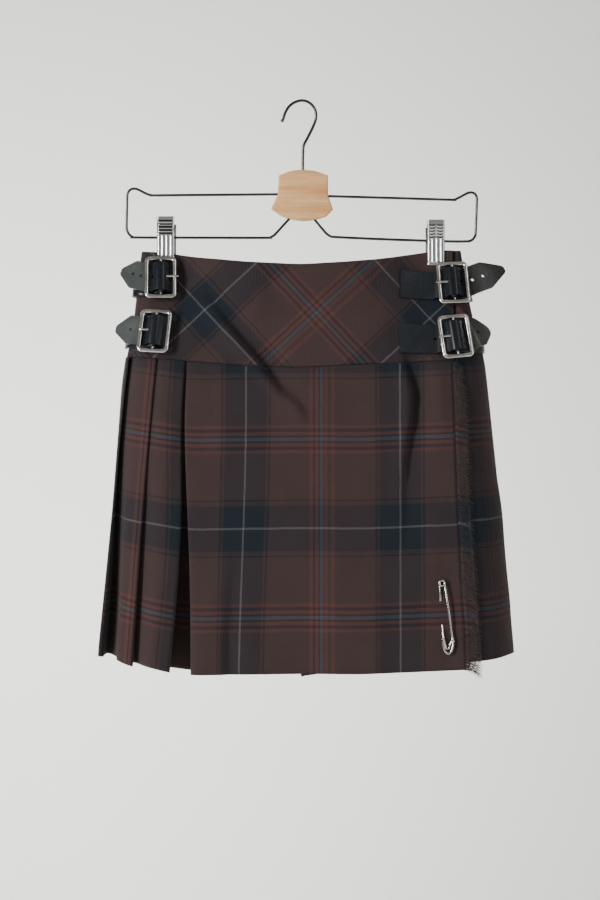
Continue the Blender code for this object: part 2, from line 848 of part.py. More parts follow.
def buckle(seat, group):
    """The frame with its centre bar, one plate with two windows."""
    outer = round_box(BUCKLE_WIDTH, BUCKLE_HEIGHT, 5.0)
    window_width = (BUCKLE_WIDTH - 2 * BUCKLE_BAR - BUCKLE_CENTRE_BAR) / 2
    window = round_box(window_width, BUCKLE_HEIGHT - 2 * BUCKLE_BAR, 1.2, count=1)
    shift = (window_width + BUCKLE_CENTRE_BAR) / 2
    windows = [[(x + side * shift, y) for x, y in window] for side in (-1, 1)]
    made = plate("buckle_" + seat.spec["name"], [outer, *windows], BUCKLE_PLATE, 0.7, nickel(), group)
    made.matrix_world = seat.matrix(BUCKLE_LIFT)
    return made


PRONG_EYE = 3.2
PRONG_HOLE = 2.1
PRONG_LENGTH = 17.0


def prong(seat, group):
    """The prong, whose eye turns on the centre bar."""
    side = seat.spec["prong_side"]
    low = BUCKLE_PLATE / 2 + GAP
    eye = [(PRONG_EYE * math.cos(t), PRONG_EYE * math.sin(t))
           for t in (math.radians(k) for k in range(52, 381, 24))]
    finger = [(PRONG_LENGTH, low), (PRONG_LENGTH + 0.9, low + 0.6), (PRONG_LENGTH, low + 1.3),
              (8.0, low + 1.5), (2.6, PRONG_EYE * 0.86)]
    eye = [point for point in eye if not (point[0] > 0 and 0 < point[1] < 2.8)]
    outline = eye + [(3.1, low), *finger]
    flipped = [[(x * side, y) for x, y in path] for path in (outline, circle(PRONG_HOLE, 10))]
    made = plate("prong_" + seat.spec["name"], flipped, 3.0, 0.3, nickel(), group)
    stand = Matrix.Rotation(math.radians(90), 4, "X")
    made.matrix_world = seat.matrix(BUCKLE_LIFT) @ stand
    return made


CHAPE_WIDTH = 24.0
CHAPE_LOOP = 2.9
CHAPE_CLEAR_FRONT = 0.6
CHAPE_CLEAR_BACK = 2.7
CHAPE_RUN = (0, 4, 7, 10, 13, 16, 19, 22, 25, 28, 32, 37, 43)


def ring_point(station_fix, z, along, depth):
    """Point outside the yoke's tube at a height and a length along it."""
    x, y, half = 0.0, 0.0, 34.0
    for _ in range(5):
        top = ramp(TOP_EDGE, x)
        seam = blended(SIDE_SEAM, BACK_SEAM, x, y, half)
        level = section(YOKE, "share", (top - z) / (top - seam))
        half = tube_half(level)
        x, y = layered(yoke_base, level, station_fix(level, along), depth)
    return Vector((x, y, z))


def chape(seat, group):
    """The tab that holds a buckle: round the centre bar and round the side of the yoke."""
    spec = seat.spec
    side = spec["tip_side"]
    middle = YOKE_CLOTH / 2 + GAP + CHAPE_LEATHER / 2
    tilt = 12 * math.sin(math.radians(spec["roll"])) * side
    rows = [[], [], []]
    for row, share in zip(rows, (1.0, 0.0, -1.0)):
        b = share * CHAPE_WIDTH / 2
        for degrees in range(60, 271, 42):
            turn = math.radians(degrees)
            a = math.cos(turn) * CHAPE_LOOP
            row.append(seat.place(side * a, b, seat.base + BUCKLE_LIFT + math.sin(turn) * CHAPE_LOOP))
        row.append(seat.place(side * 4.5, b, seat.base + 1.6))
        start = seat.place(side * 8.0, b, 0).x

        def from_start(level, along):
            return yoke_station(level, start) + side * along
        for along in CHAPE_RUN:
            round_side = ease((along - 8) / 12)
            clear = CHAPE_CLEAR_FRONT + (CHAPE_CLEAR_BACK - CHAPE_CLEAR_FRONT) * round_side
            row.append(ring_point(from_start, spec["z"] + b + tilt, along, -middle - clear))
    if side < 0:
        rows = [list(reversed(row)) for row in rows]
    made = sheet("chape_" + spec["name"], rows, CHAPE_LEATHER, black_leather(), group)
    tools = bpy.data.collections["cutters"]
    notch = box("notch_" + spec["name"], (9.0, 4.0, 14), tools)
    notch.matrix_world = seat.matrix(BUCKLE_LIFT + 2.2)
    cut(made, notch)
    return made


def skirt_front(x, z):
    """Outer face of the apron's front at a place seen from the front."""
    top = ramp(FRONT_SEAM, x)
    down = SKIRT_LENGTH * (top - z) / (top - ramp(FRONT_HEM, x))
    level = section(SKIRT, "down", down)
    station = front_station(level["left"], level["right"], level["half"], x)
    return skirt_base(level, station)[1] - CLOTH / 2


PIN_RADIUS = 1.1
PIN_STAND = 3.4
PIN_COIL = 2.6
CLASP_AT = (141.2, -541.6)


def kilt_pin(group):
    """The pin, bent from one wire into its front bar, coil and leg, and its clasp."""
    def lay(x, z, stand):
        return x, skirt_front(x, z) - stand, z
    close = PIN_RADIUS + GAP
    top, bottom = (136.8, -477.0), (143.6, -533.5)
    bar = [lay(top[0] + (bottom[0] - top[0]) * k / 6, top[1] + (bottom[1] - top[1]) * k / 6,
               PIN_STAND + 1.6 * math.sin(math.pi * k / 6)) for k in range(7)]
    coil = []
    for k in range(13):
        turn = 2 * math.pi * k / 8
        x = top[0] - 1.5 + PIN_COIL * math.sin(turn)
        z = top[1] - PIN_COIL + PIN_COIL * math.cos(turn)
        coil.append(lay(x, z, PIN_STAND + 2.2 - 3.4 * k / 12))
    leg = [lay(133.6 + 3.4 * k / 6, -481.5 - 48.5 * k / 6, close) for k in range(1, 7)]
    wire("kilt_pin", smooth_path([*reversed(bar), *coil[1:], *leg], 2), PIN_RADIUS, nickel(), group)
    clasp = [round_box(12.4, 14.5, 4.0), round_box(6.6, 8.6, 2.0, count=2)]
    made = plate("kilt_pin_clasp", clasp, 1.6, 0.5, nickel(), group)
    x, z = CLASP_AT
    made.matrix_world = (Matrix.Translation(Vector(lay(x, z, close + 2.2)) * MM)
                         @ Matrix.Rotation(math.radians(90), 4, "X"))
    return made


HOOK = [(-19, 0, -18), (-16.8, 0, -11), (-13, 0, -4.6), (-7, 0, -0.2), (0.8, 0, 1.5), (8, 0, -1.2),
        (13, 0, -7.5), (14, 0, -16), (10.5, 0, -26), (5, 0, -37), (1.6, 0, -44), (0.9, 0, -55),
        (0.8, 0, -66), (0.8, 0, -80)]
LEFT_WIRE = [(-20, 0, -92.3), (-80, 0, -92.8), (-154, 0, -93.5), (-161, 0, -90.5), (-167.6, 0, -87.5),
             (-172.6, 0, -88.6), (-174.5, 0, -93), (-175.3, 0, -126.5), (-173.2, 0, -132.6),
             (-167.6, 0, -135.5), (-100, 0, -135.7), (-31, 0, -135.8), (-26, 0, -133.5),
             (-13, 0, -117), (-9, 0, -110.5)]
RIGHT_WIRE = [(20, 0, -94), (90, 0, -96), (154.8, 0, -98), (162, 0, -94.5), (168.8, 0, -91),
              (173.5, 0, -91.8), (175, 0, -96), (173.7, 0, -132), (172.4, 0, -137),
              (168.5, 0, -139), (142.9, 0, -139.3), (80, 0, -137.2), (28.5, 0, -135), (23.5, 0, -132.2),
              (12.5, 0, -117.5), (9.5, 0, -111.5)]
BLOCK = [(-23, -74), (-12, -69.8), (0.8, -68.2), (14, -69.8), (26, -74), (26, -94), (31, -107.7),
         (24, -114.6), (13, -118), (1.5, -119.2), (-10, -117.8), (-21, -114), (-30.6, -107), (-24.5, -94)]
BLOCK_THICKNESS = 15.0


def hanger(group):
    """The hook, the wooden block and the two wire loops."""
    tools = bpy.data.collections["cutters"]
    block = plate("hanger_block", [BLOCK], BLOCK_THICKNESS, 1.5, beech(), group)
    block.matrix_world = Matrix.Rotation(math.radians(90), 4, "X")
    for name, route, radius, look in (("hanger_hook", HOOK, HOOK_RADIUS, dark_steel()),
                                      ("hanger_wire_left", LEFT_WIRE, WIRE_RADIUS, dark_steel()),
                                      ("hanger_wire_right", RIGHT_WIRE, WIRE_RADIUS, dark_steel())):
        path = smooth_path(route, 3)
        wire(name, path, radius, look, group)
        ends = [path[-6:]] if name == "hanger_hook" else [path[-6:], path[1::-1]]
        for k, run in enumerate(ends):
            run = [*run, run[-1] + (run[-1] - run[-2]).normalized() * 0.6]
            cut(block, wire(f"bore_{k}_{name}", run, radius + GAP, look, tools))


# Clips: where each stands, the heights of its top, jaw and pivot, and the side to which
# its back plate stands out.
CLIP_COLUMNS = ("name", "x", "top", "bottom", "pivot", "shift")
CLIPS = [
    ("left", -136.1, -115.0, -157.0, -135.7, 1.44),
    ("right", 133.7, -118.3, -163.5, -139.2, -1.44),
]
CLIP_SHEET = 1.0
BACK_PLATE_DROP = 7.0
SPRING_RADIUS = 2.9
SPRING_BORE = 1.85
SPRING_LENGTH = 9.0


def clips(group):
    """Each clip: a front and a back plate that grip the yoke, and the spring between."""
    for clip in row_dicts(CLIP_COLUMNS, CLIPS):
        name, top, pivot = clip["name"], clip["top"], clip["pivot"]
        for face, side, shift, drop in (("front", -1, 0.0, 0.0),
                                        ("back", 1, clip["shift"], BACK_PLATE_DROP)):
            profile = [(top - drop, 8.6), (top - 9, 7.0), (pivot + 4, 4.3), (pivot - 4, 4.1),
                       (clip["bottom"], 4.7)]
            rows = [[(clip["x"] + shift + CLIP_WIDTH * (k / 4 - 0.5), side * out, z)
                     for k in range(5)] for z, out in profile]
            sheet(f"clip_{name}_{face}", rows, CLIP_SHEET, chrome(), group)
        spring(clip, group)


def circle(radius, count):
    """Points round a circle."""
    turns = (2 * math.pi * k / count for k in range(count))
    return [(radius * math.cos(t), radius * math.sin(t)) for t in turns]


def spring(clip, group):
    """The spring barrel round the wire."""
    rings = [circle(SPRING_RADIUS, 14), circle(SPRING_BORE, 14)]
    made = plate(f"clip_{clip['name']}_spring", rings, SPRING_LENGTH, 0.2, chrome(), group)
    made.matrix_world = (Matrix.Translation(Vector((clip["x"], 0, clip["pivot"])) * MM)
                         @ Matrix.Rotation(math.radians(90), 4, "Y"))


def fringe(group):
    """Frayed edge: strands whose roots are fused in a narrow backing strip."""
    rows = []
    for k in range(2 * FRINGE_STRANDS):
        share = (k // 2 + (0.22 if k % 2 == 0 else 0.78)) / FRINGE_STRANDS
        level = section(SKIRT, "down", share * SKIRT_LENGTH)
        start = front_station(level["left"], level["right"], level["half"], level["cut"]) + GAP
        row = []
        for along in (0.0, FRINGE_STRIP):
            x, y = layered(skirt_base, level, start + along, 0.0)
            row.append((x, y, outer_height(x, y, level["half"], share)))
        rows.append(row)
    strip = sheet("fringe_strip", rows, CLOTH, tartan_wool(), group)
    graph = bpy.context.evaluated_depsgraph_get()
    bm = bmesh.new()
    bm.from_object(strip, graph)
    bpy.data.objects.remove(strip, do_unlink=True)
    edge = [face for face in bm.faces if face.normal.x > 0.6]
    edge.sort(key=lambda face: -face.calc_center_median().z)
    roots = edge[::2]
    grown = bmesh.ops.extrude_discrete_faces(bm, faces=roots)["faces"]
    for number, face in enumerate(sorted(grown, key=lambda face: -face.calc_center_median().z)):
        middle = face.calc_center_median()
        level = section(SKIRT, "down", number / FRINGE_STRANDS * SKIRT_LENGTH)
        length = level["fray"] - level["cut"] - FRINGE_STRIP
        reach = length * (1 + 0.12 * math.sin(1.7 * number))
        drop = FRINGE_DROP + 1.2 * math.sin(2.9 * number)
        away = Vector((reach, -0.4 + 0.11 * reach, -drop)) * MM
        for vert in face.verts:
            vert.co = middle + (vert.co - middle) * 0.6 + away
    return mesh_object("fringe", bm, tartan_wool(), group)


def main():
    for old in list(bpy.data.objects):
        bpy.data.objects.remove(old, do_unlink=True)
    group = collection("kilt_skirt")
    collection("cutters")
    over_apron(group)
    left_pleats(group)
    back_pleats(group)
    under_apron(group)
    over_yoke(group)
    back_yoke(group)
    under_yoke(group)
    for spec in row_dicts(BUCKLE_COLUMNS, BUCKLES):
        seat = Seat(spec)
        strap(seat, group)
        buckle(seat, group)
        prong(seat, group)
        chape(seat, group)
    kilt_pin(group)
    fringe(group)
    hanger(group)
    clips(group)


main()
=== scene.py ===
"""Look of the kilt skirt on its clip hanger: cloth, leather, metal, wood, light and camera."""
import math
import random

import bpy
import bmesh
from mathutils import Matrix, Vector, noise


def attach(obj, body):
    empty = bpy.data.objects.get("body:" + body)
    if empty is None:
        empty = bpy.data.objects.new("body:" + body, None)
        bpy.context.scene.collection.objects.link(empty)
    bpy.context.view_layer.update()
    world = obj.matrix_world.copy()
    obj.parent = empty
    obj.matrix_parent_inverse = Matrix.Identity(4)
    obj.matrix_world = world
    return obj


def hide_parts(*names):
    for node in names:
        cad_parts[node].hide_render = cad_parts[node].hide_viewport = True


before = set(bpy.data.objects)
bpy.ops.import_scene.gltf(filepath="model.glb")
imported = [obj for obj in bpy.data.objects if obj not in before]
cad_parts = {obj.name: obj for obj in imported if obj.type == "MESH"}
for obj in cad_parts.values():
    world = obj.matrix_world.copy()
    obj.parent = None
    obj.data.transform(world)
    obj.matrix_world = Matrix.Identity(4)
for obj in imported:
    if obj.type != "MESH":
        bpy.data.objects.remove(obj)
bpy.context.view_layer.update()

MM = 0.001
WARP_REPEAT = 151.7
WEFT_REPEAT = 175.0
WARP_WHITE = -55.5
WEFT_WHITE = 142.0
SKIRT_LENGTH = 301
SEAM_GAP = 0.5
PLEAT_CLOTH = 67.0
INVERTED_PLEAT_CLOTH = 107.0
A_FOLD = 13
C_FOLD = 15
C_TUCK = (20.0, 18.0)
SHOULDER = 1.5
OVER_YOKE_RIGHT = 150.5
YOKE_DEPTH = 105
BUCKLE_WIDTH = 32.0
BUCKLE_HEIGHT = 45.2
BUCKLE_BAR = 4.4
BUCKLE_LIFT = 5.5
STRAP_HALF_WIDTH = 15.0
WIRE_RADIUS = 1.35

# Skirt sections: length down from the seam, the tube's ends and half depth, the fold edges.
SKIRT_COLUMNS = ("down", "left", "right", "half", "e_fold", "c_fold", "b_fold", "cut", "fray")
SKIRT = [dict(zip(SKIRT_COLUMNS, row)) for row in (
    (0, -174.5, 178.0, 34, -112.4, -115.4, -143.0, 148.0, 160.0),
    (17, -179.0, 183.0, 37, -113.8, -116.8, -145.0, 148.6, 163.0),
    (56, -182.0, 187.5, 40, -115.7, -118.9, -148.7, 150.0, 165.5),
    (100, -185.0, 192.0, 43, -114.6, -118.9, -152.8, 151.0, 166.5),
    (150, -188.5, 197.5, 46, -112.5, -118.4, -156.5, 153.0, 168.5),
    (200, -192.5, 203.0, 49, -110.4, -120.8, -160.5, 155.5, 172.0),
    (250, -197.0, 208.0, 52, -109.4, -124.6, -164.2, 158.3, 175.0),
    (301, -201.5, 213.0, 55, -109.2, -130.0, -167.7, 160.8, 176.5),
)]
YOKE_COLUMNS = ("share", "left", "right", "round", "middle", "pinched")
YOKE = [dict(zip(YOKE_COLUMNS, row)) for row in (
    (0.0, -159.5, 158.0, 5, 18, 2.6),
    (0.15, -162.0, 160.5, 6, 21, 2.7),
    (0.28, -163.8, 163.0, 10, 24, 7),
    (0.5, -166.0, 166.5, 16, 28, 17),
    (0.75, -169.0, 171.5, 25, 31, 26),
    (1.0, -174.5, 178.0, 34, 34, 34),
)]
CLIP_X = (-136.0, 133.5)
TOP_EDGE = [(-160, -150), (-146, -150), (-126, -152.5), (-108, -155.5), (-58, -160.8),
            (-2, -163.6), (46, -160.8), (78, -158), (118, -151.5), (142, -148), (160, -149.5)]
FRONT_SEAM = [(-175, -255), (-142, -257.5), (-58, -264.6), (-2, -266.2), (54, -263.4),
              (110, -261.2), (150, -258.8), (178, -255)]
UNDER_SEAM = [(-175, -262), (-100, -263), (0, -262), (100, -256), (150, -249), (178, -244.5)]
SIDE_SEAM = [(-175, -255), (-142, -257.5), (0, -262), (150, -249), (178, -244.5)]
BACK_SEAM = [(-175, -255), (-100, -271), (0, -279), (100, -269), (178, -244.5)]
FRONT_HEM = [(-202, -551), (-175, -559), (-130, -566), (-109, -568.5), (0, -567),
             (60, -567.5), (165, -563)]
UNDER_HEM = [(-175, -560), (0, -562), (150, -557), (190, -554), (213, -549)]
SIDE_HEM = [(-202, -551), (0, -562), (150, -557), (190, -554), (213, -549)]
BACK_HEM = [(-202, -551), (-100, -573), (0, -580), (100, -572), (213, -549)]
TROUGHS = [
    [(-101, -187, 0.0), (-83, -211, 5.0), (-65.5, -234, 8.5), (-40, -263, 9.0), (-22, -288, 6.5),
     (-5, -299, 4.6), (3, -311, 3.0), (7, -326, 0.0)],
    [(101, -254, 2.5), (106, -275, 7.0), (110, -292, 8.0), (109, -318, 7.0), (105, -342, 5.6),
     (101, -380, 4.0), (99, -450, 0.0)],
    [(-69, -440, 0.0), (-71, -490, 1.8), (-74, -530, 3.0), (-75, -580, 3.6)],
]

# Small creases on the front: start, end, depth (- is a ridge), width.
FRONT_CREASES = [
    ((134, -266), (137, -345), -2.4, 8), ((91, -205), (94, -258), 1.3, 6),
    ((-91, -486), (-96, -572), -1.8, 10),
    ((-58, -470), (-56, -572), -1.2, 9), ((-34, -190), (-52, -222), -0.9, 8),
    ((-30, -172), (-12, -214), 0.7, 12), ((38, -168), (22, -238), -0.7, 14),
    ((84, -164), (72, -206), 0.9, 9), ((-104, -236), (-84, -254), 0.8, 7),
    ((14, -275), (20, -372), -0.8, 16), ((58, -270), (50, -392), 0.8, 15),
    ((-88, -268), (-98, -356), 0.9, 12), ((-8, -450), (-6, -570), 0.9, 18),
    ((34, -436), (40, -570), -1.1, 16), ((86, -470), (90, -570), 1.1, 14),
    ((124, -400), (134, -470), -0.9, 12), ((140, -440), (146, -560), 0.8, 8),
    ((-30, -330), (24, -352), 0.5, 9), ((-108, -400), (-60, -420), 0.4, 12),
]
SIDE_CREASES = [
    ((-150, -300), (-154, -420), 0.6, 8), ((-124, -318), (-138, -392), -1.6, 5),
    ((176, -290), (184, -400), 0.9, 12), ((190, -380), (196, -548), -1.1, 12),
    ((174, -440), (178, -552), 0.9, 10), ((-168, -420), (-172, -540), 0.7, 9),
]


def lookup(table, at):
    """Height along an edge at a place, smoothed at the table's marks."""
    def straight(x):
        if x <= table[0][0]:
            return table[0][1]
        for (a, low), (b, high) in zip(table, table[1:]):
            if x <= b:
                return low + (high - low) * (x - a) / (b - a)
        return table[-1][1]
    return (straight(at - 9) + 2 * straight(at) + straight(at + 9)) / 4


def section(table, key, at):
    """The row of a table at a place, mixed from the rows beside it."""
    if at <= table[0][key]:
        return dict(table[0])
    for low, high in zip(table, table[1:]):
        if at <= high[key]:
            share = (at - low[key]) / (high[key] - low[key])
            return {name: low[name] + (high[name] - low[name]) * share for name in low}
    return dict(table[-1])


def soft_section(table, key, at, reach):
    """A section averaged over a reach, so the rows don't show as bends."""
    parts = [section(table, key, at + d * reach) for d in (-1, 0, 0, 1)]
    made = {name: sum(part[name] for part in parts) / 4 for name in parts[0]}
    made[key] = at
    return made


def ease(share):
    share = min(1.0, max(0.0, share))
    return share * share * (3 - 2 * share)


def tube_length(level, radius):
    return 2 * (level["right"] - level["left"] - 2 * radius) + 2 * math.pi * radius


def tube_point(left, right, radius, station):
    """Point on a flat tube with round ends, at a station from the middle of the front."""
    straight = right - left - 2 * radius
    bend = math.pi * radius
    along = (station - (left + radius)) % (2 * straight + 2 * bend)
    if along <= straight:
        return left + radius + along, -radius
    along -= straight
    if along <= bend:
        angle = along / radius
        return right - radius + radius * math.sin(angle), -radius * math.cos(angle)
    along -= bend
    if along <= straight:
        return right - radius - along, radius
    angle = (along - straight) / radius
    return left + radius - radius * math.sin(angle), radius * math.cos(angle)


def front_station(left, right, radius, x):
    if x < left + radius:
        return left + radius - radius * math.asin(min(1.0, (left + radius - x) / radius))
    if x > right - radius:
        return right - radius + radius * math.asin(min(1.0, (x - right + radius) / radius))
    return x


def skirt_base(level, station):
    return tube_point(level["left"], level["right"], level["half"], station)


def yoke_base(level, station):
    radius = level["round"]
    x, y = tube_point(level["left"], level["right"], radius, station)
    away = min(max(0.0, abs(x - clip) - 11.0) for clip in CLIP_X)
    pinch = math.exp(-((away / 38.0) ** 2))
    half = level["middle"] + (level["pinched"] - level["middle"]) * pinch
    return x, y * half / radius


def layered(base, level, station, depth):
    """Point of a tube moved in by a depth."""
    x, y = base(level, station)
    if depth == 0.0:
        return x, y
    x0, y0 = base(level, station - 1.0)
    x1, y1 = base(level, station + 1.0)
    length = math.hypot(x1 - x0, y1 - y0)
    return x - (y1 - y0) / length * depth, y + (x1 - x0) / length * depth


def crease(x, z, table):
    """Depth of the listed creases at a place seen from the front."""
    depth = 0.0
    for (ax, az), (bx, bz), deep, width in table:
        rx, rz = bx - ax, bz - az
        long = rx * rx + rz * rz
        t = ((x - ax) * rx + (z - az) * rz) / long
        side = ((x - ax) * rz - (z - az) * rx) / math.sqrt(long) / width
        if abs(side) > 2.6 or t < -0.15 or t > 1.15:
            continue
        ends = ease((t + 0.15) / 0.4) * ease((1.15 - t) / 0.3)
        depth += deep * math.exp(-side * side) * ends
    return depth


def trough(x, z):
    """The large folds: a sharp edge on the left and a long slope on the right."""
    sunk = 0.0
    for route in TROUGHS:
        nearest, depth, away = 1e9, 0.0, 0.0
        for (ax, az, da), (bx, bz, db) in zip(route, route[1:]):
            rx, rz = bx - ax, bz - az
            share = min(1.0, max(0.0, ((x - ax) * rx + (z - az) * rz) / (rx * rx + rz * rz)))
            px, pz = x - ax - rx * share, z - az - rz * share
            reach = math.hypot(px, pz)
            if reach < nearest:
                nearest, depth = reach, da + (db - da) * share
                away = math.copysign(reach, rx * pz - rz * px)
        slope = math.exp(-(max(0.0, away - 1.0) / 15.0) ** 2)
        sunk += depth * ease((away + 3.2) / 4.2) * slope
        sunk -= 0.42 * depth * math.exp(-((away + 6.0) / 6.5) ** 2)
    return sunk


def blended(front, back, x, y, half):
    weight = ease((y / half + 1) / 2)
    return lookup(front, x) * (1 - weight) + lookup(back, x) * weight


def new_object(name, points, faces, uvs=None, smooth=True):
    """An object from points in millimetres, with one (u, v) for each point."""
    mesh = bpy.data.meshes.new(name)
    mesh.from_pydata([(x * MM, y * MM, z * MM) for x, y, z in points], [], faces)
    if uvs:
        layer = mesh.uv_layers.new(name="cloth")
        for loop in mesh.loops:
            layer.data[loop.index].uv = uvs[loop.vertex_index]
    if smooth:
        mesh.shade_smooth()
    made = bpy.data.objects.new(name, mesh)
    bpy.context.scene.collection.objects.link(made)
    return made


def grid_faces(rows, across):
    return [(r * across + c, (r + 1) * across + c, (r + 1) * across + c + 1, r * across + c + 1)
            for r in range(rows - 1) for c in range(across - 1)]


def ring_faces(rings, sides, closed=False):
    """Faces between rings of points; closed joins the last ring to the first."""
    total = rings * sides
    faces = []
    for k in range(rings if closed else rings - 1):
        for s in range(sides):
            a, b = k * sides + s, k * sides + (s + 1) % sides
            faces.append((a, b, (b + sides) % total, (a + sides) % total))
    return faces


def shell(made, thickness):
    """Give a surface the thickness of its cloth."""
    wall = made.modifiers.new("wall", "SOLIDIFY")
    wall.thickness = thickness * MM
    wall.offset = 0.0
    wall.use_quality_normals = True
    return made


def rounded(row, passes):
    """Round the folds of a row of points."""
    for _ in range(passes):
        row = [row[0]] + [
            tuple((a + 2 * b + c) / 4 for a, b, c in zip(row[k - 1], row[k], row[k + 1]))
            for k in range(1, len(row) - 1)] + [row[-1]]
    return row


def refine(keys, counts):
    """Even places between the key places of a row."""
    fine = []
    for (a, b), count in zip(zip(keys, keys[1:]), counts):
        for k in range(count):
            t = k / count
            fine.append(tuple(p + (q - p) * t for p, q in zip(a, b)))
    fine.append(keys[-1])
    return fine


def counts_of(keys, step):
    return [max(2, round(math.hypot(b[2] - a[2], b[1] - a[1]) / step))
            for a, b in zip(keys, keys[1:])]


def skirt_piece(name, keys, seam, hem, lift, step=3.2, row_step=4.0, shift=(0.0, 0.0),
                drift=None):
    """A piece of the skirt: keys gives (station, depth, u) at a level."""
    counts = counts_of(keys(section(SKIRT, "down", 150)), step)
    number = round(SKIRT_LENGTH / row_step)
    rows, uvs = [], []
    for r in range(number + 1):
        share = r / number
        level = soft_section(SKIRT, "down", share * SKIRT_LENGTH, 14)
        fine = refine([(*key, 0.0)[:4] for key in keys(level)], counts)
        row = []
        for station, depth, u, _ in fine:
            x, y = layered(skirt_base, level, station, depth)
            row.append((x, y))
        row = rounded(row, 2)
        for (x, y), (station, depth, u, rise) in zip(row, fine):
            half = level["half"]
            top = blended(seam, BACK_SEAM, x, y, half) - SEAM_GAP
            low = blended(hem, BACK_HEM, x, y, half)
            z = top + (low - top) * share + rise * share * share
            u += drift(x, y, share) if drift else 0.0
            uvs.append(((u + shift[0]) / WARP_REPEAT,
                        (z - low - rise * share * share - WEFT_WHITE + shift[1]) / WEFT_REPEAT))
            move = lift(x, y, z, u, share)
            nx, ny = layered(skirt_base, level, station, depth + 1.0)
            bx, by = layered(skirt_base, level, station, depth)
            rows.append((x + (nx - bx) * move, y + (ny - by) * move, z))
    made = new_object(name, rows, grid_faces(number + 1, sum(counts) + 1), uvs)
    return shell(made, 0.8)


def mixed(level, top, hem):
    return top + (hem - top) * level["down"] / SKIRT_LENGTH


def pitch(level):
    """Room between the layers of a pleat, pressed close near the seam."""
    return 1.25 + 4.6 * ease((level["down"] / SKIRT_LENGTH - 0.22) / 0.78)


def whole(level):
    return tube_length(level, level["half"])


def fold_stations(level):
    b_fold = front_station(level["left"], level["right"], level["half"], level["b_fold"])
    b_fold += whole(level)
    step = mixed(level, 31.0, 37.0)
    a_fold = b_fold - step
    back = [a_fold - step * (A_FOLD - k) for k in range(A_FOLD)]
    return [*back, a_fold, b_fold, level["c_fold"] + whole(level)]


HEM_LIFT = 3.2
C_FOLD_U = -161.5
FOLD_U = [C_FOLD_U - 3.0 - PLEAT_CLOTH * (C_FOLD - k) for k in range(C_FOLD)] + [C_FOLD_U]


def splay(index, level):
    share = level["down"] / SKIRT_LENGTH
    if index == A_FOLD:
        return 3.0 + 5.5 * share
    if index > A_FOLD:
        return 0.0
    return (1.6 + 1.4 * math.sin(2.3 * index + 0.4)) * share * 2.0


def tuck(level, index):
    folds = fold_stations(level)
    if index == C_FOLD:
        return mixed(level, *C_TUCK)
    panel = folds[index] - folds[index - 1] if index else folds[1] - folds[0]
    return (PLEAT_CLOTH - panel) / 2


def pleat_keys(level, first, last):
    folds = fold_stations(level)
    step = pitch(level)
    keys = []
    for index in range(first, last):
        edge, fold_u = folds[index], FOLD_U[index]
        out = -splay(index, level)
        inside = tuck(level, index)
        if index:
            inner = folds[index - 1] - tuck(level, index - 1)
            keys.append((inner, 2 * step, fold_u - (edge - inner), HEM_LIFT))
            keys.append((folds[index - 1] + 2.5, 2 * step, fold_u - (edge - folds[index - 1] - 2.5),
                         HEM_LIFT))
        shoulder = edge - inside - SHOULDER
        keys.append((shoulder, 0.0, fold_u - inside - SHOULDER, HEM_LIFT * 0.6))
        keys.append(((shoulder + edge) / 2, out * 0.4, fold_u - (inside + SHOULDER) / 2,
                     HEM_LIFT * 0.3))
        keys.append((edge, out, fold_u, 0.0))
        keys.append((edge, out + step, fold_u + 0.4, 0.0))
        keys.append((edge - inside, step, fold_u + inside, HEM_LIFT))
    return keys


def apron_return(level):
    """Cloth from the apron's left fold back to the inner fold of the inverted pleat."""
    return (INVERTED_PLEAT_CLOTH - (level["e_fold"] - level["c_fold"])) / 2 - mixed(level, *C_TUCK)


def left_pleat_keys(level):
    keys = pleat_keys(level, A_FOLD, C_FOLD + 1)
    step = pitch(level)
    folds = fold_stations(level)
    inner = folds[C_FOLD] - tuck(level, C_FOLD)
    u = keys[-1][2]
    ret = apron_return(level)
    end = level["e_fold"] + whole(level) + ret - 1.0
    deep = 2 * step + mixed(level, 0.0, 6.0)
    shaded = deep + mixed(level, 0.0, 9.0)
    edge = level["e_fold"] + whole(level)
    keys.append((inner, 2 * step, u + 0.4, HEM_LIFT))
    keys.append((folds[C_FOLD] - 3.0, shaded, u + folds[C_FOLD] - inner, HEM_LIFT))
    keys.append((edge - 4.0, shaded, u + edge - 4.0 - inner, HEM_LIFT))
    keys.append((end, deep, u + end - inner, HEM_LIFT))
    return keys


def apron_keys(level):
    step = pitch(level)
    edge = level["e_fold"]
    ret = apron_return(level)
    right = front_station(level["left"], level["right"], level["half"], level["cut"])
    keys = [(edge + ret, step, edge - ret), (edge + 12, step, edge - 12), (edge, step, edge - 0.4),
            (edge, 0.0, edge), ((edge + right) / 2, 0.0, (edge + right) / 2), (right, 0.0, right)]
    return [(station, depth, u - WARP_WHITE) for station, depth, u in keys]


def under_keys(level):
    deep = mixed(level, 6.0, 20.0)
    left, right, half = level["left"], level["right"], level["half"]
    cut = front_station(left, right, half, level["cut"])
    fray = front_station(left, right, half, level["fray"])
    folds = fold_stations(level)
    end = folds[0] - tuck(level, 0) - SHOULDER - 0.3
    keys = [(-106.0, deep), (cut - 14, deep), (cut, 5.2), (fray + 3, 3.4)]
    keys += [(fray + 3 + (end - fray - 3) * k / 3, 3.4 - 3.4 * k / 3) for k in range(1, 4)]
    white = 152.7 + 24.2 * level["down"] / SKIRT_LENGTH
    return [(s, d, s - white) for s, d in keys]


def seeded(x, y, z, scale, amount):
    return noise.noise(Vector((x, y, z)) * scale) * amount


def gathered(x, y, share):
    """Cloth taken up by the low fold beside the apron's left edge."""
    weight = ease((x + 108) / 40) * ease((10 - x) / 50) if y < -10 else 0.0
    return 6.8 * weight * ease((share - 0.15) / 0.95)


def level_edge(share):
    """Cloth coordinate of the apron's left fold."""
    return section(SKIRT, "down", share * SKIRT_LENGTH)["e_fold"] - WARP_WHITE


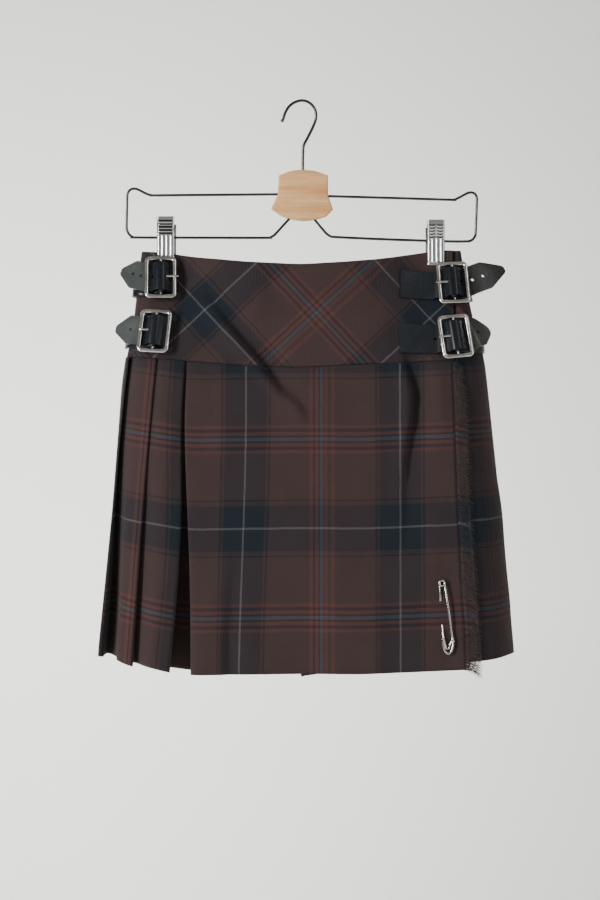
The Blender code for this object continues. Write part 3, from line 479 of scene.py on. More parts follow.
def apron_lift(x, y, z, u, share):
    if y > -10 or u < level_edge(share):
        return 0.0
    return trough(x, z) + crease(x, z, FRONT_CREASES) + seeded(x, 0, z, 0.018, 0.9)


def pleat_lift(x, y, z, u, share):
    ripple = seeded(u * 1.6, 0, z * 0.35, 0.03, 1.0) * (0.3 + share)
    if y < 0:
        ripple += crease(x, z, SIDE_CREASES) * 0.6
    return ripple * 0.6


def under_lift(x, y, z, u, share):
    if y < 0 and x < 150:
        return trough(x, z) + seeded(x, 3, z, 0.02, 0.5)
    return crease(x, z, SIDE_CREASES) * 0.8 + seeded(u, 7, z, 0.016, 1.2) * (0.4 + share)


def ride_as(made, *nodes):
    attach(made, "root")
    for node in nodes:
        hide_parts(node)
    return made


# ---- skirt cloth
apron = ride_as(skirt_piece("apron_cloth", apron_keys, FRONT_SEAM, FRONT_HEM, apron_lift,
                            drift=gathered), "over_apron")
left_cloth = ride_as(skirt_piece("left_pleat_cloth", left_pleat_keys, FRONT_SEAM, FRONT_HEM,
                                 pleat_lift, step=2.6), "left_pleats")
right_back = ride_as(skirt_piece("back_pleat_cloth_right", lambda level: pleat_keys(level, 0, 7),
                                 SIDE_SEAM, SIDE_HEM, pleat_lift), "back_pleats_right")
left_back = ride_as(skirt_piece("back_pleat_cloth_left", lambda level: pleat_keys(level, 7, A_FOLD),
                                SIDE_SEAM, SIDE_HEM, pleat_lift), "back_pleats_left")
under = ride_as(skirt_piece("under_apron_cloth", under_keys, UNDER_SEAM, UNDER_HEM, under_lift,
                            step=4.0, shift=(0.0, 4.0)), "under_apron")


def yoke_station(level, x):
    return front_station(level["left"], level["right"], level["round"], x)


def spread(first, last, count):
    inner = [first + (last - first) * k / count for k in range(1, count)]
    return [first, first + 1.0, *inner, last - 1.0, last]


def side_seam(level):
    return level["right"] - level["round"] + level["round"] * 1.75


def over_yoke_ends(level):
    return yoke_station(level, level["left"] + 5.0), yoke_station(level, OVER_YOKE_RIGHT)


def over_yoke_keys(level):
    first, last = over_yoke_ends(level)
    return [(station, 0.0) for station in spread(first, last, 26)]


def back_yoke_keys(level):
    around = tube_length(level, level["round"])
    first = side_seam(level) + SEAM_GAP
    last = over_yoke_ends(level)[0] + around - SEAM_GAP
    turned = level["right"] - level["round"] * (1 - math.pi)
    turning = around + level["left"] + level["round"] * (1 - math.pi)
    stations = (spread(first, turned, 5)[:-2] + spread(turned, turning, 20)[:-2]
                + spread(turning, last, 9))
    return [(station, 0.0) for station in stations]


def under_yoke_keys(level):
    deep = min(6.0, level["middle"])
    keys = []
    last = yoke_station(level, OVER_YOKE_RIGHT)
    for k in range(19):
        station = -113.0 + (last - 6 + 113.0) * k / 18
        keys.append((station, min(deep, abs(yoke_base(level, station)[1]))))
    end = side_seam(level) - 0.3
    turn = yoke_station(level, 154.5)
    keys.append((turn, min(2.4 + 3.0 * level["share"] ** 2, abs(yoke_base(level, turn)[1]))))
    keys += [(turn + (end - turn) * k / 8, 0.0) for k in range(1, 9)]
    return keys


BIAS_TURN = math.radians(2.1)
BIAS_REPEAT = 157.6
BIAS_ORIGIN = (-96.5, -209.5)


def bias_uv(s, z, origin=BIAS_ORIGIN):
    """Place in the tartan of a yoke cut on the bias, from length round and height."""
    dx, dz = s - origin[0], z - origin[1]
    along = dx * math.cos(BIAS_TURN) - dz * math.sin(BIAS_TURN)
    down = -(dx * math.sin(BIAS_TURN) + dz * math.cos(BIAS_TURN))
    return (along + down) / math.sqrt(2) / BIAS_REPEAT, (along - down) / math.sqrt(2) / BIAS_REPEAT


def yoke_piece(name, keys, seam, lift, divide, origin=BIAS_ORIGIN, row_step=2.6):
    """A piece of the yoke, with folded edges a little fuller than its middle."""
    number = round(YOKE_DEPTH / row_step)
    points, uvs = [], []
    for r in range(number + 1):
        share = r / number
        level = soft_section(YOKE, "share", share, 0.05)
        level.update(section(YOKE, "share", share) if share in (0.0, 1.0) else {})
        if level["round"] < level["pinched"]:
            level["round"] = level["pinched"]
        fine = refine(keys(level), [divide] * (len(keys(level)) - 1))
        row = rounded([layered(yoke_base, level, s, d) for s, d in fine], 1)
        half = max(level["middle"], 20)
        for (x, y), (s, d) in zip(row, fine):
            top = lookup(TOP_EDGE, x)
            z = top + (blended(seam, BACK_SEAM, x, y, half) - top) * share
            uvs.append(bias_uv(s, z, origin))
            move = lift(x, y, z, s, share)
            nx, ny = layered(yoke_base, level, s, d + 1.0)
            bx, by = layered(yoke_base, level, s, d)
            points.append((x + (nx - bx) * move, y + (ny - by) * move, z))
    made = new_object(name, points, grid_faces(number + 1, len(points) // (number + 1)), uvs)
    return shell(made, 1.4)


def yoke_lift(x, y, z, s, share):
    if y > 0:
        return seeded(s, 9, z, 0.02, 0.8) * ease(share * 4)
    small = crease(x, z, FRONT_CREASES) + seeded(x, 4, z, 0.022, 0.7)
    return trough(x, z) + small * ease(share * 4)


def inner_lift(x, y, z, s, share):
    sunk = trough(x, z) if y < 0 else 0.0
    return sunk + seeded(s, 5, z, 0.02, 0.4) * ease(share * 4)


# ---- yoke cloth
over = ride_as(yoke_piece("over_yoke_cloth", over_yoke_keys, FRONT_SEAM, yoke_lift, 4), "over_yoke")
back = ride_as(yoke_piece("back_yoke_cloth", back_yoke_keys, SIDE_SEAM, yoke_lift, 3,
                          origin=(380.0, -209.5)), "back_yoke")
inner = ride_as(yoke_piece("under_yoke_cloth", under_yoke_keys, UNDER_SEAM, inner_lift, 3,
                           origin=(70.0, -215.0)), "under_yoke")


# ---- materials
class Nodes:
    """Short ways to build a procedural material."""

    def __init__(self, name):
        self.material = bpy.data.materials.new(name)
        self.material.use_nodes = True
        self.tree = self.material.node_tree
        self.shader = self.tree.nodes["Principled BSDF"]

    def node(self, kind, **settings):
        made = self.tree.nodes.new(kind)
        for key, value in settings.items():
            setattr(made, key, value)
        return made

    def put(self, value, socket):
        if isinstance(value, bpy.types.NodeSocket):
            self.tree.links.new(value, socket)
        elif isinstance(value, (tuple, list)) and len(value) == 3 and socket.type == "RGBA":
            socket.default_value = (*value, 1.0)
        else:
            socket.default_value = value

    def math(self, operation, a, b=0.0, c=0.0):
        made = self.node("ShaderNodeMath", operation=operation)
        for value, socket in zip((a, b, c), made.inputs):
            self.put(value, socket)
        return made.outputs[0]

    def noise(self, vector, scale, detail=2.0, rough=0.5, stretch=(1, 1, 1)):
        if stretch != (1, 1, 1):
            mapping = self.node("ShaderNodeMapping")
            self.put(vector, mapping.inputs["Vector"])
            mapping.inputs["Scale"].default_value = stretch
            vector = mapping.outputs[0]
        made = self.node("ShaderNodeTexNoise")
        self.put(vector, made.inputs["Vector"])
        self.put(scale, made.inputs["Scale"])
        self.put(detail, made.inputs["Detail"])
        self.put(rough, made.inputs["Roughness"])
        return made.outputs[0]

    def ramp(self, value, stops, blend="LINEAR"):
        made = self.node("ShaderNodeValToRGB")
        made.color_ramp.interpolation = blend
        elements = made.color_ramp.elements
        while len(elements) > 1:
            elements.remove(elements[-1])
        elements[0].position = stops[0][0]
        elements[0].color = (*stops[0][1], 1.0)
        for place, colour in stops[1:]:
            elements.new(place).color = (*colour, 1.0)
        self.put(value, made.inputs["Fac"])
        return made.outputs[0]

    def mix(self, share, a, b, blend="MIX"):
        made = self.node("ShaderNodeMix", data_type="RGBA", blend_type=blend)
        self.put(share, made.inputs["Factor"])
        self.put(a, made.inputs["A"])
        self.put(b, made.inputs["B"])
        return [o for o in made.outputs if o.type == "RGBA"][0]

    def range(self, value, low, high, to_low, to_high):
        made = self.node("ShaderNodeMapRange")
        for key, number in zip(("Value", "From Min", "From Max", "To Min", "To Max"),
                               (value, low, high, to_low, to_high)):
            self.put(number, made.inputs[key])
        return made.outputs[0]

    def bump(self, height, strength, distance):
        made = self.node("ShaderNodeBump")
        self.put(height, made.inputs["Height"])
        made.inputs["Strength"].default_value = strength
        made.inputs["Distance"].default_value = distance
        self.put(made.outputs[0], self.shader.inputs["Normal"])

    def coords(self):
        return self.node("ShaderNodeTexCoord").outputs["Object"]


def linear(r, g, b):
    """A colour read as 0 to 255, as the shader wants it."""
    def one(value):
        value /= 255
        return value / 12.92 if value < 0.04045 else ((value + 0.055) / 1.055) ** 2.4
    return one(r), one(g), one(b)


NAVY = (24, 32, 41)
BROWN = (64, 49, 49)
RED = (88, 55, 52)
BLUE = (64, 70, 79)
WHITE = (92, 93, 98)
DARK = (37, 33, 36)
RUST = (60, 45, 44)
SOOT = (47, 38, 40)

# The tartan's threads by place in millimetres from the white line, up to one repeat.
WARP_SETT = [(0, WHITE), (1.0, NAVY), (20.2, RUST), (22.4, DARK), (24.4, BROWN), (62.6, RED),
             (65.9, SOOT), (68.0, RED), (71.2, SOOT), (72.3, BLUE), (75.9, SOOT), (76.8, RED),
             (80.3, BROWN), (84.0, RED), (87.3, BROWN), (127.2, DARK), (129.2, RUST),
             (131.5, NAVY), (150.7, WHITE)]
WEFT_SETT = [(0, WHITE), (1.1, NAVY), (22.0, RUST), (25.0, BROWN), (26.2, DARK), (28.2, BROWN),
             (73.4, RED), (77.0, SOOT), (80.2, RED), (83.8, SOOT), (85.6, BLUE), (89.4, SOOT),
             (91.2, RED), (94.8, SOOT), (98.0, RED), (101.6, BROWN), (146.8, DARK), (148.8, BROWN),
             (150.0, RUST), (153.0, NAVY), (173.9, WHITE)]
THREAD = 0.5


def sett_ramp(nodes, place, sett, repeat):
    stops = [(where / repeat, linear(*colour)) for where, colour in sett]
    return nodes.ramp(nodes.math("FRACT", place), stops, "CONSTANT")


def tartan(name, warp_mm, weft_mm):
    """2/2 twill tartan laid out from the cloth's own coordinates."""
    nodes = Nodes(name)
    uv = nodes.node("ShaderNodeUVMap", uv_map="cloth").outputs[0]
    split = nodes.node("ShaderNodeSeparateXYZ")
    nodes.put(uv, split.inputs[0])
    wobble = nodes.noise(uv, 9.0, 2.0)
    wander = nodes.math("MULTIPLY", nodes.math("SUBTRACT", wobble, 0.5), 0.006)
    u = nodes.math("ADD", split.outputs[0], wander)
    v = nodes.math("ADD", split.outputs[1], wander)
    warp = sett_ramp(nodes, u, WARP_SETT, WARP_REPEAT)
    weft = sett_ramp(nodes, v, WEFT_SETT, WEFT_REPEAT)
    threads_u = nodes.math("MULTIPLY", u, warp_mm / THREAD)
    threads_v = nodes.math("MULTIPLY", v, weft_mm / THREAD)
    count = nodes.math("ADD", nodes.math("FLOOR", threads_u), nodes.math("FLOOR", threads_v))
    rib = nodes.math("FRACT", nodes.math("MULTIPLY", count, 0.25))
    face = nodes.range(nodes.math("GREATER_THAN", rib, 0.4), 0, 1, 0.2, 0.8)
    woven = nodes.mix(face, warp, weft)
    fuzz = nodes.noise(uv, 520.0, 3.0, 0.65)
    slub = nodes.noise(uv, 60.0, 4.0, 0.6, stretch=(1.0, 7.0, 1.0))
    cloudy = nodes.noise(uv, 5.0, 3.0)
    shade = nodes.math("MULTIPLY", nodes.range(fuzz, 0.25, 0.75, 0.86, 1.16),
                       nodes.range(slub, 0.3, 0.7, 0.93, 1.08))
    shade = nodes.math("MULTIPLY", shade, nodes.range(cloudy, 0.3, 0.7, 0.95, 1.06))
    coarse = nodes.math("SINE", nodes.math("MULTIPLY", nodes.math("ADD", threads_u, threads_v),
                                           math.pi / 3))
    shade = nodes.math("MULTIPLY", shade, nodes.range(coarse, -1, 1, 0.95, 1.06))
    grey = nodes.node("ShaderNodeCombineColor")
    for socket in grey.inputs[:3]:
        nodes.put(shade, socket)
    colour = nodes.mix(1.0, woven, grey.outputs[0], "MULTIPLY")
    nodes.put(colour, nodes.shader.inputs["Base Color"])
    nodes.put(nodes.range(fuzz, 0.2, 0.8, 0.78, 0.95), nodes.shader.inputs["Roughness"])
    nodes.shader.inputs["Specular IOR Level"].default_value = 0.25
    nodes.shader.inputs["Sheen Weight"].default_value = 0.12
    nodes.shader.inputs["Sheen Roughness"].default_value = 0.45
    height = nodes.math("ADD", nodes.math("MULTIPLY", coarse, 0.3),
                        nodes.math("ADD", rib, nodes.math("MULTIPLY", fuzz, 0.8)))
    nodes.bump(height, 0.55, 0.00035)
    return nodes.material


def leather(name, colour, second_tone, smooth=0.24, rough=0.36):
    nodes = Nodes(name)
    place = nodes.coords()
    grain = nodes.node("ShaderNodeTexVoronoi", feature="F1")
    nodes.put(place, grain.inputs["Vector"])
    grain.inputs["Scale"].default_value = 1500.0
    pores = nodes.noise(place, 700.0, 3.0, 0.6)
    folds = nodes.noise(place, 90.0, 3.0, 0.55)
    cloudy = nodes.noise(place, 35.0, 2.0)
    tone = nodes.mix(nodes.range(cloudy, 0.35, 0.7, 0.0, 1.0), linear(*colour), linear(*second_tone))
    nodes.put(nodes.mix(nodes.range(pores, 0.6, 0.8, 0.0, 0.3), tone, linear(60, 62, 64)),
              nodes.shader.inputs["Base Color"])
    nodes.put(nodes.range(folds, 0.3, 0.7, smooth, rough), nodes.shader.inputs["Roughness"])
    height = nodes.math("ADD", nodes.math("MULTIPLY", grain.outputs[0], 0.6),
                        nodes.math("MULTIPLY", folds, 1.6))
    nodes.bump(height, 0.2, 0.0002)
    nodes.shader.inputs["Specular IOR Level"].default_value = 0.42
    return nodes.material


def metal(name, light, dark_reflection_tint, smooth, rough, scratch=240.0, stretch=(1, 1, 8)):
    nodes = Nodes(name)
    place = nodes.coords()
    cloudy = nodes.noise(place, 70.0, 3.0, 0.6)
    fine = nodes.noise(place, scratch, 3.0, 0.6, stretch=stretch)
    # Painted reflection: cloudy patches blend the light base colour with a darker one, standing in
    # for the bright and dark reflections along the metal.
    nodes.put(nodes.mix(nodes.range(cloudy, 0.3, 0.75, 0.0, 1.0), light, dark_reflection_tint),
              nodes.shader.inputs["Base Color"])
    nodes.put(nodes.range(nodes.math("ADD", cloudy, fine), 0.7, 1.3, smooth, rough),
              nodes.shader.inputs["Roughness"])
    nodes.shader.inputs["Metallic"].default_value = 1.0
    nodes.bump(fine, 0.03, 0.00005)
    return nodes.material


def wood(name):
    nodes = Nodes(name)
    place = nodes.coords()
    grain = nodes.noise(place, 60.0, 5.0, 0.6, stretch=(0.35, 4.0, 6.0))
    rings = nodes.noise(place, 22.0, 3.0, 0.5, stretch=(0.5, 3.0, 5.0))
    flecks = nodes.noise(place, 900.0, 2.0, 0.5, stretch=(0.12, 1.0, 1.0))
    tone = nodes.ramp(rings, [(0.25, linear(232, 158, 98)), (0.5, linear(255, 204, 142)),
                              (0.75, linear(246, 182, 120))])
    tone = nodes.mix(nodes.range(grain, 0.45, 0.75, 0.0, 0.5), tone, linear(204, 138, 90))
    tone = nodes.mix(nodes.range(flecks, 0.62, 0.8, 0.0, 0.4), tone, linear(160, 104, 72))
    nodes.put(tone, nodes.shader.inputs["Base Color"])
    nodes.put(nodes.range(grain, 0.3, 0.7, 0.38, 0.55), nodes.shader.inputs["Roughness"])
    nodes.bump(nodes.math("ADD", grain, flecks), 0.15, 0.0002)
    return nodes.material


def wear(made, look):
    made.data.materials.clear()
    made.data.materials.append(look)


skirt_wool = tartan("skirt_wool", WARP_REPEAT, WEFT_REPEAT)
yoke_wool = tartan("yoke_wool", BIAS_REPEAT, BIAS_REPEAT)
for piece in (apron, left_cloth, right_back, left_back, under):
    wear(piece, skirt_wool)
for piece in (over, back, inner):
    wear(piece, yoke_wool)
strap_black = leather("strap_black", (14, 19, 26), (26, 31, 38))
strap_dull = leather("strap_dull", (14, 19, 26), (26, 31, 38), 0.46, 0.6)
# Painted sheen: the free tips get lighter grey leather colours standing in for reflected light,
# brightest on the left tips, which face the bright left side.
tip_left_painted_sheen = leather("strap_tip_left", (62, 68, 71), (88, 92, 89))
tip_right_painted_sheen = leather("strap_tip_right", (32, 32, 30), (46, 46, 43))
tip_low_painted_sheen = leather("strap_tip_low", (60, 60, 56), (76, 76, 71))
# Painted reflection: the second colour of each metal is the dark tint of its cloudy painted
# reflections.
nickel = metal("nickel_plate", (1.0, 0.97, 0.92), (0.50, 0.46, 0.42), 0.06, 0.18)
chrome = metal("clip_chrome_plate", (0.95, 0.95, 0.95), (0.85, 0.85, 0.85), 0.05, 0.16)
dark_wire = metal("dark_wire", (0.15, 0.14, 0.13), (0.08, 0.075, 0.07), 0.12, 0.28)
pale_wood = wood("pale_wood")


# ---- leather and metal on the yoke
def ramp(table, at):
    if at <= table[0][0]:
        return table[0][1]
    for (a, low), (b, high) in zip(table, table[1:]):
        if at <= b:
            return low + (high - low) * (at - a) / (b - a)
    return table[-1][1]


def soft_ramp(table, at, reach):
    return (ramp(table, at - reach) + 2 * ramp(table, at) + ramp(table, at + reach)) / 4


def yoke_front(x, z):
    """Outer face of the yoke's front at a place seen from the front."""
    top = ramp(TOP_EDGE, x)
    seam = ramp(FRONT_SEAM if x < OVER_YOKE_RIGHT else SIDE_SEAM, x)
    level = section(YOKE, "share", (top - z) / (top - seam))
    return yoke_base(level, yoke_station(level, x))[1] - 0.75


BUCKLES = [
    dict(name="left_upper", x=-140.9, z=-179.3, roll=1.0, side=-1, tip=40.5, bend=3.0, turn=17.0,
         prong=1, reach=17.6, tail=15.8, point=12.5, holes=(27.4, 19.5, 7.2), blind=True),
    dict(name="left_lower", x=-145.0, z=-232.1, roll=-6.0, side=-1, tip=40.5, bend=5.0, turn=4.0,
         prong=-1, reach=15.0, tail=15.8, point=14.0, holes=(24.0,), blind=True),
    dict(name="right_upper", x=149.9, z=-184.5, roll=4.0, side=1, tip=57.0, bend=8.0, turn=22.0,
         prong=-1, reach=17.8, tail=52.3, point=21.5, holes=(32.0, 20.2, 6.8), blind=False),
    dict(name="right_lower", x=150.9, z=-237.2, roll=8.0, side=1, tip=39.5, bend=16.0, turn=17.0,
         prong=-1, reach=17.2, tail=54.0, point=13.0, holes=(23.6, -18.5), blind=True),
]


class Seat:
    """A flat frame of reference on the yoke under a buckle."""

    def __init__(self, spec):
        self.spec = spec
        x, z, reach = spec["x"], spec["z"], 12.0
        slope_x = (yoke_front(x + reach, z) - yoke_front(x - reach, z)) / (2 * reach)
        slope_z = (yoke_front(x, z + reach) - yoke_front(x, z - reach)) / (2 * reach)
        self.n = Vector((slope_x, -1.0, slope_z)).normalized()
        roll = math.radians(spec["roll"])
        across = Vector((math.cos(roll), 0.0, math.sin(roll)))
        self.a = (across - self.n * across.dot(self.n)).normalized()
        self.b = self.n.cross(self.a)
        self.origin = Vector((x, yoke_front(x, z), z))
        self.base = max(self.cloth(i * 8.0, j * 9.5) for i in range(-2, 3) for j in range(-2, 3))

    def place(self, a, b, h):
        return self.origin + self.a * a + self.b * b + self.n * h

    def cloth(self, a, b):
        h = 0.0
        for _ in range(5):
            p = self.place(a, b, h)
            h += (yoke_front(p.x, p.z) - p.y) / self.n.y
        return h


RISE = [(0.0, 10.6), (2.2, 10.5), (4.2, 9.6), (7.0, 6.2), (9.4, 3.4), (12.0, 2.9), (15.5, 2.9)]
POINT = [(0.0, 0.1), (0.02, 0.18), (0.06, 0.25), (0.12, 0.32), (0.97, 0.99), (1.02, 1.0)]


def turned(spec, along, across):
    """A place on the strap, whose tip turns up past the frame."""
    if along > 0:
        angle = math.radians(spec["turn"]) * ease((along - 7.0) / 10.0)
        past = max(0.0, along - 12.0)
    else:
        angle = -math.radians(spec["roll"] + 2.0) * ease((-along - 7.0) / 10.0)
        past = min(0.0, along + 12.0)
    a = along - past + past * math.cos(angle) - across * math.sin(angle)
    return a * spec["side"], past * math.sin(angle) + across * math.cos(angle)


def strap_height(seat, along, a, b):
    """Height of the strap's middle over the seat."""
    spec = seat.spec
    height = soft_ramp(RISE, abs(along), 0.8) + seat.base
    if along < -15.5:
        laid = seat.cloth(a, b) + 1.6
        height += (laid - height) * ease((-15.5 - along) / 4.0)
    if along > 19.0:
        height -= spec["bend"] * ((along - 19.0) / (spec["tip"] - 19.0)) ** 1.5
    return height


def strap(seat):
    """A strap with rounded edges, from its tail over the bar to its point."""
    spec = seat.spec
    tip, tail = spec["tip"], -spec["tail"]
    count = round(tip - tail)
    across = 14
    points = []
    for k in range(count + 1):
        along = tail + (tip - tail) * k / count
        width = STRAP_HALF_WIDTH * soft_ramp(POINT, (tip - along) / spec["point"], 0.03)
        for j in range(across + 1):
            share = 1.0 - 2.0 * j / across
            a, b = turned(spec, along, share * width)
            crown = 0.25 * (1 - share ** 4)
            points.append(tuple(seat.place(a, b, strap_height(seat, along, a, b) + crown - 0.2)))
    faces = grid_faces(count + 1, across + 1)
    if spec["side"] > 0:
        faces = [face[::-1] for face in faces]
    made = new_object("leather_strap_" + spec["name"], points, faces)
    shell(made, 1.9)
    punched(made, seat)
    edge = made.modifiers.new("edge", "BEVEL")
    edge.width = 0.3 * MM
    edge.segments = 2
    edge.angle_limit = math.radians(50)
    return ride_as(made, "strap_" + spec["name"])


def punched(made, seat):
    """Punch a strap's holes."""
    spec = seat.spec
    drills = []
    for along in spec["holes"]:
        a, b = turned(spec, along, 0.0)
        middle = strap_height(seat, along, a, b)
        a2, b2 = turned(spec, along + 0.5, 0.0)
        slope = strap_height(seat, along + 0.5, a2, b2) - middle
        lean = -slope / 0.5 * spec["side"]
        low = -0.55 if spec["blind"] else -3.0
        path = [seat.place(a + lean * h, b, middle + h) for h in (low, 3.0)]
        drills.append(tube("drill", path, 1.65, 20))
    tool = joined(drills[0], *drills[1:])
    hole = made.modifiers.new("holes", "BOOLEAN")
    hole.operation = "DIFFERENCE"
    hole.solver = "EXACT"
    hole.object = tool
    graph = bpy.context.evaluated_depsgraph_get()
    mesh = bpy.data.meshes.new_from_object(made.evaluated_get(graph))
    made.modifiers.clear()
    made.data = mesh
    bpy.data.objects.remove(tool, do_unlink=True)
    made.data.shade_smooth()
    made.data.set_sharp_from_angle(angle=math.radians(40))


def chape(seat):
    """The tab that holds a buckle: round the centre bar and round the side of the yoke."""
    spec = seat.spec
    side = spec["side"]
    tilt = 12 * math.sin(math.radians(spec["roll"])) * side
    rows = []
    for j in range(9):
        b = 16.0 - 4.0 * j
        row = []
        for degrees in range(60, 271, 15):
            turn = math.radians(degrees)
            row.append(seat.place(side * math.cos(turn) * 2.9, b,
                                  seat.base + BUCKLE_LIFT + math.sin(turn) * 2.9))
        row.append(seat.place(side * 4.5, b, seat.base + 1.6))
        start = seat.place(side * 8.0, b, 0).x
        for along in [*range(0, 44, 2), 43]:
            clear = 0.5 + 1.8 * ease((along - 8) / 12)
            x, y, half = 0.0, 0.0, 34.0
            z = spec["z"] + b + tilt
            for _ in range(4):
                top = ramp(TOP_EDGE, x)
                seam = ramp(SIDE_SEAM, x) + (ramp(BACK_SEAM, x) - ramp(SIDE_SEAM, x)) * ease(
                    (y / half + 1) / 2)
                level = section(YOKE, "share", (top - z) / (top - seam))
                half = max(level["middle"], 20)
                x, y = layered(yoke_base, level, yoke_station(level, start) + side * along,
                               -1.75 - clear)
            row.append(Vector((x, y, z)))
        rows.append(rounded([tuple(p) for p in row], 1))
    faces = grid_faces(9, len(rows[0]))
    if side > 0:
        faces = [face[::-1] for face in faces]
    made = new_object("leather_tab_" + spec["name"], [p for row in rows for p in row], faces)
    shell(made, 1.3)
    return ride_as(made, "chape_" + spec["name"])


def tube(name, path, radius, sides=12, closed=False):
    """A round wire along a path; radius may be a list."""
    path = [Vector(p) for p in path]
    count = len(path)
    points = []
    normal = None
    for k, place in enumerate(path):
        before = path[(k - 1) % count] if closed else path[max(0, k - 1)]
        after = path[(k + 1) % count] if closed else path[min(count - 1, k + 1)]
        ahead = (after - before).normalized()
        if normal is None:
            normal = ahead.orthogonal().normalized()
        normal = (normal - ahead * normal.dot(ahead)).normalized()
        side = ahead.cross(normal)
        size = radius[k] if isinstance(radius, list) else radius
        for s in range(sides):
            turn = 2 * math.pi * s / sides
            points.append(tuple(place + (normal * math.cos(turn) + side * math.sin(turn)) * size))
    faces = ring_faces(count, sides, closed)
    if not closed:
        faces.append(tuple(range(sides))[::-1])
        faces.append(tuple(range(len(points) - sides, len(points))))
    return new_object(name, points, faces)


def frame_ring(seat):
    """The buckle's frame, with a rounded flat section, and its centre bar."""
    spec = seat.spec
    width, height = BUCKLE_WIDTH - BUCKLE_BAR, BUCKLE_HEIGHT - BUCKLE_BAR
    corner, lift = 3.6, BUCKLE_LIFT
    path = []
    for sx, sy, start in ((1, 1, 0), (-1, 1, 90), (-1, -1, 180), (1, -1, 270)):
        for k in range(9):
            turn = math.radians(start + 90 * k / 8)
            path.append((sx * (width / 2 - corner) + corner * math.cos(turn),
                         sy * (height / 2 - corner) + corner * math.sin(turn),
                         math.cos(turn), math.sin(turn)))
    points, sides = [], 16
    for x, y, nx, ny in path:
        for s in range(sides):
            turn = 2 * math.pi * s / sides
            out = 2.2 * math.copysign(abs(math.cos(turn)) ** 0.9, math.cos(turn))
            up = 1.7 * math.copysign(abs(math.sin(turn)) ** 1.05, math.sin(turn))
            points.append(tuple(seat.place(x + nx * out, y + ny * out, seat.base + lift + up)))
    faces = ring_faces(len(path), sides, closed=True)
    made = new_object("buckle_frame_" + spec["name"], points, faces)
    bar = tube("bar", [tuple(seat.place(0, y, seat.base + lift)) for y in (-19, 0, 19)],
               WIRE_RADIUS)
    joined(made, bar)
    return ride_as(made, "buckle_" + spec["name"])


def joined(base, *others):
    """Join meshes into the first one."""
    bm = bmesh.new()
    bm.from_mesh(base.data)
    for other in others:
        bm.from_mesh(other.data)
        bpy.data.objects.remove(other, do_unlink=True)
    bm.to_mesh(base.data)
    bm.free()
    base.data.shade_smooth()
    base.data.set_sharp_from_angle(angle=math.radians(48))
    return base


def prong(seat):
    """The prong: an eye on the bar and a finger that lies on the frame."""
    spec = seat.spec
    side, zero = spec["prong"], seat.base + BUCKLE_LIFT
    ring = [tuple(seat.place(2.75 * math.cos(t), 0, zero + 2.75 * math.sin(t)))
            for t in (2 * math.pi * k / 20 for k in range(20))]
    eye = tube("prong_" + spec["name"] + "_pin", ring, 0.85, 10, closed=True)
    run = [(2.2, 2.0), (4.5, 2.9), (8, 2.9), (12, 2.8), (13.5, 2.8), (16, 2.85), (17.6, 2.7)]
    path = [tuple(seat.place(side * a * spec["reach"] / 17.6, 0, zero + h)) for a, h in run]
    finger = tube("finger", path, [1.2, 1.25, 1.2, 1.1, 1.05, 0.95, 0.6], 12)
    joined(eye, finger)
    return ride_as(eye, "prong_" + spec["name"])


def stitches(name, lines, long, gap, radius, place):
    """Rows of stitches along lines; place turns (a, b) into a point."""
    points, faces = [], []
    for line in lines:
        for (ax, ay), (bx, by) in zip(line, line[1:]):
            length = math.hypot(bx - ax, by - ay)
            number = max(1, round(length / (long + gap)))
            for k in range(number):
                start, end = (k + 0.1) / number, (k + 0.9 * long / (long + gap)) / number
                ends = [Vector(place(ax + (bx - ax) * t, ay + (by - ay) * t)) for t in (start, end)]
                ahead = (ends[1] - ends[0]).normalized()
                up = Vector((0, -1, 0))
                side = ahead.cross(up).normalized()
                base = len(points)
                middle = (ends[0] + ends[1]) / 2
                for p in (ends[0] - up * radius * 0.8, ends[1] - up * radius * 0.8,
                          middle + side * radius + up * 0.02, middle - side * radius + up * 0.02,
                          middle + up * radius):
                    points.append(tuple(p))
                for face in ((0, 2, 4), (2, 1, 4), (1, 3, 4), (3, 0, 4)):
                    faces.append(tuple(base + i for i in face))
    made = new_object(name, points, faces, smooth=False)
    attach(made, "root")
    return made


def give_tip_painted_sheen(made, seat, look):
    """Give the free tip of a strap its painted sheen, a lighter leather colour standing in for
    reflected light, and the end that is sewn down a rougher leather.
    """
    made.data.materials.append(look)
    made.data.materials.append(strap_dull)
    for face in made.data.polygons:
        out = (face.center / MM - seat.origin).dot(seat.a) * seat.spec["side"]
        if abs(out) > 14.5:
            face.material_index = 1 if out > 0 else 2


# Painted sheen colour for each strap's free tip.
TIP_PAINTED_SHEEN = {"left_upper": tip_left_painted_sheen, "left_lower": tip_left_painted_sheen, "right_upper": tip_right_painted_sheen,
             "right_lower": tip_low_painted_sheen}
hardware = []
for spec in BUCKLES:
    seat = Seat(spec)
    made = strap(seat)
    wear(made, strap_black)
    give_tip_painted_sheen(made, seat, TIP_PAINTED_SHEEN[spec["name"]])
    wear(chape(seat), strap_black)
    wear(frame_ring(seat), nickel)
    wear(prong(seat), nickel)
    hardware.append(seat)

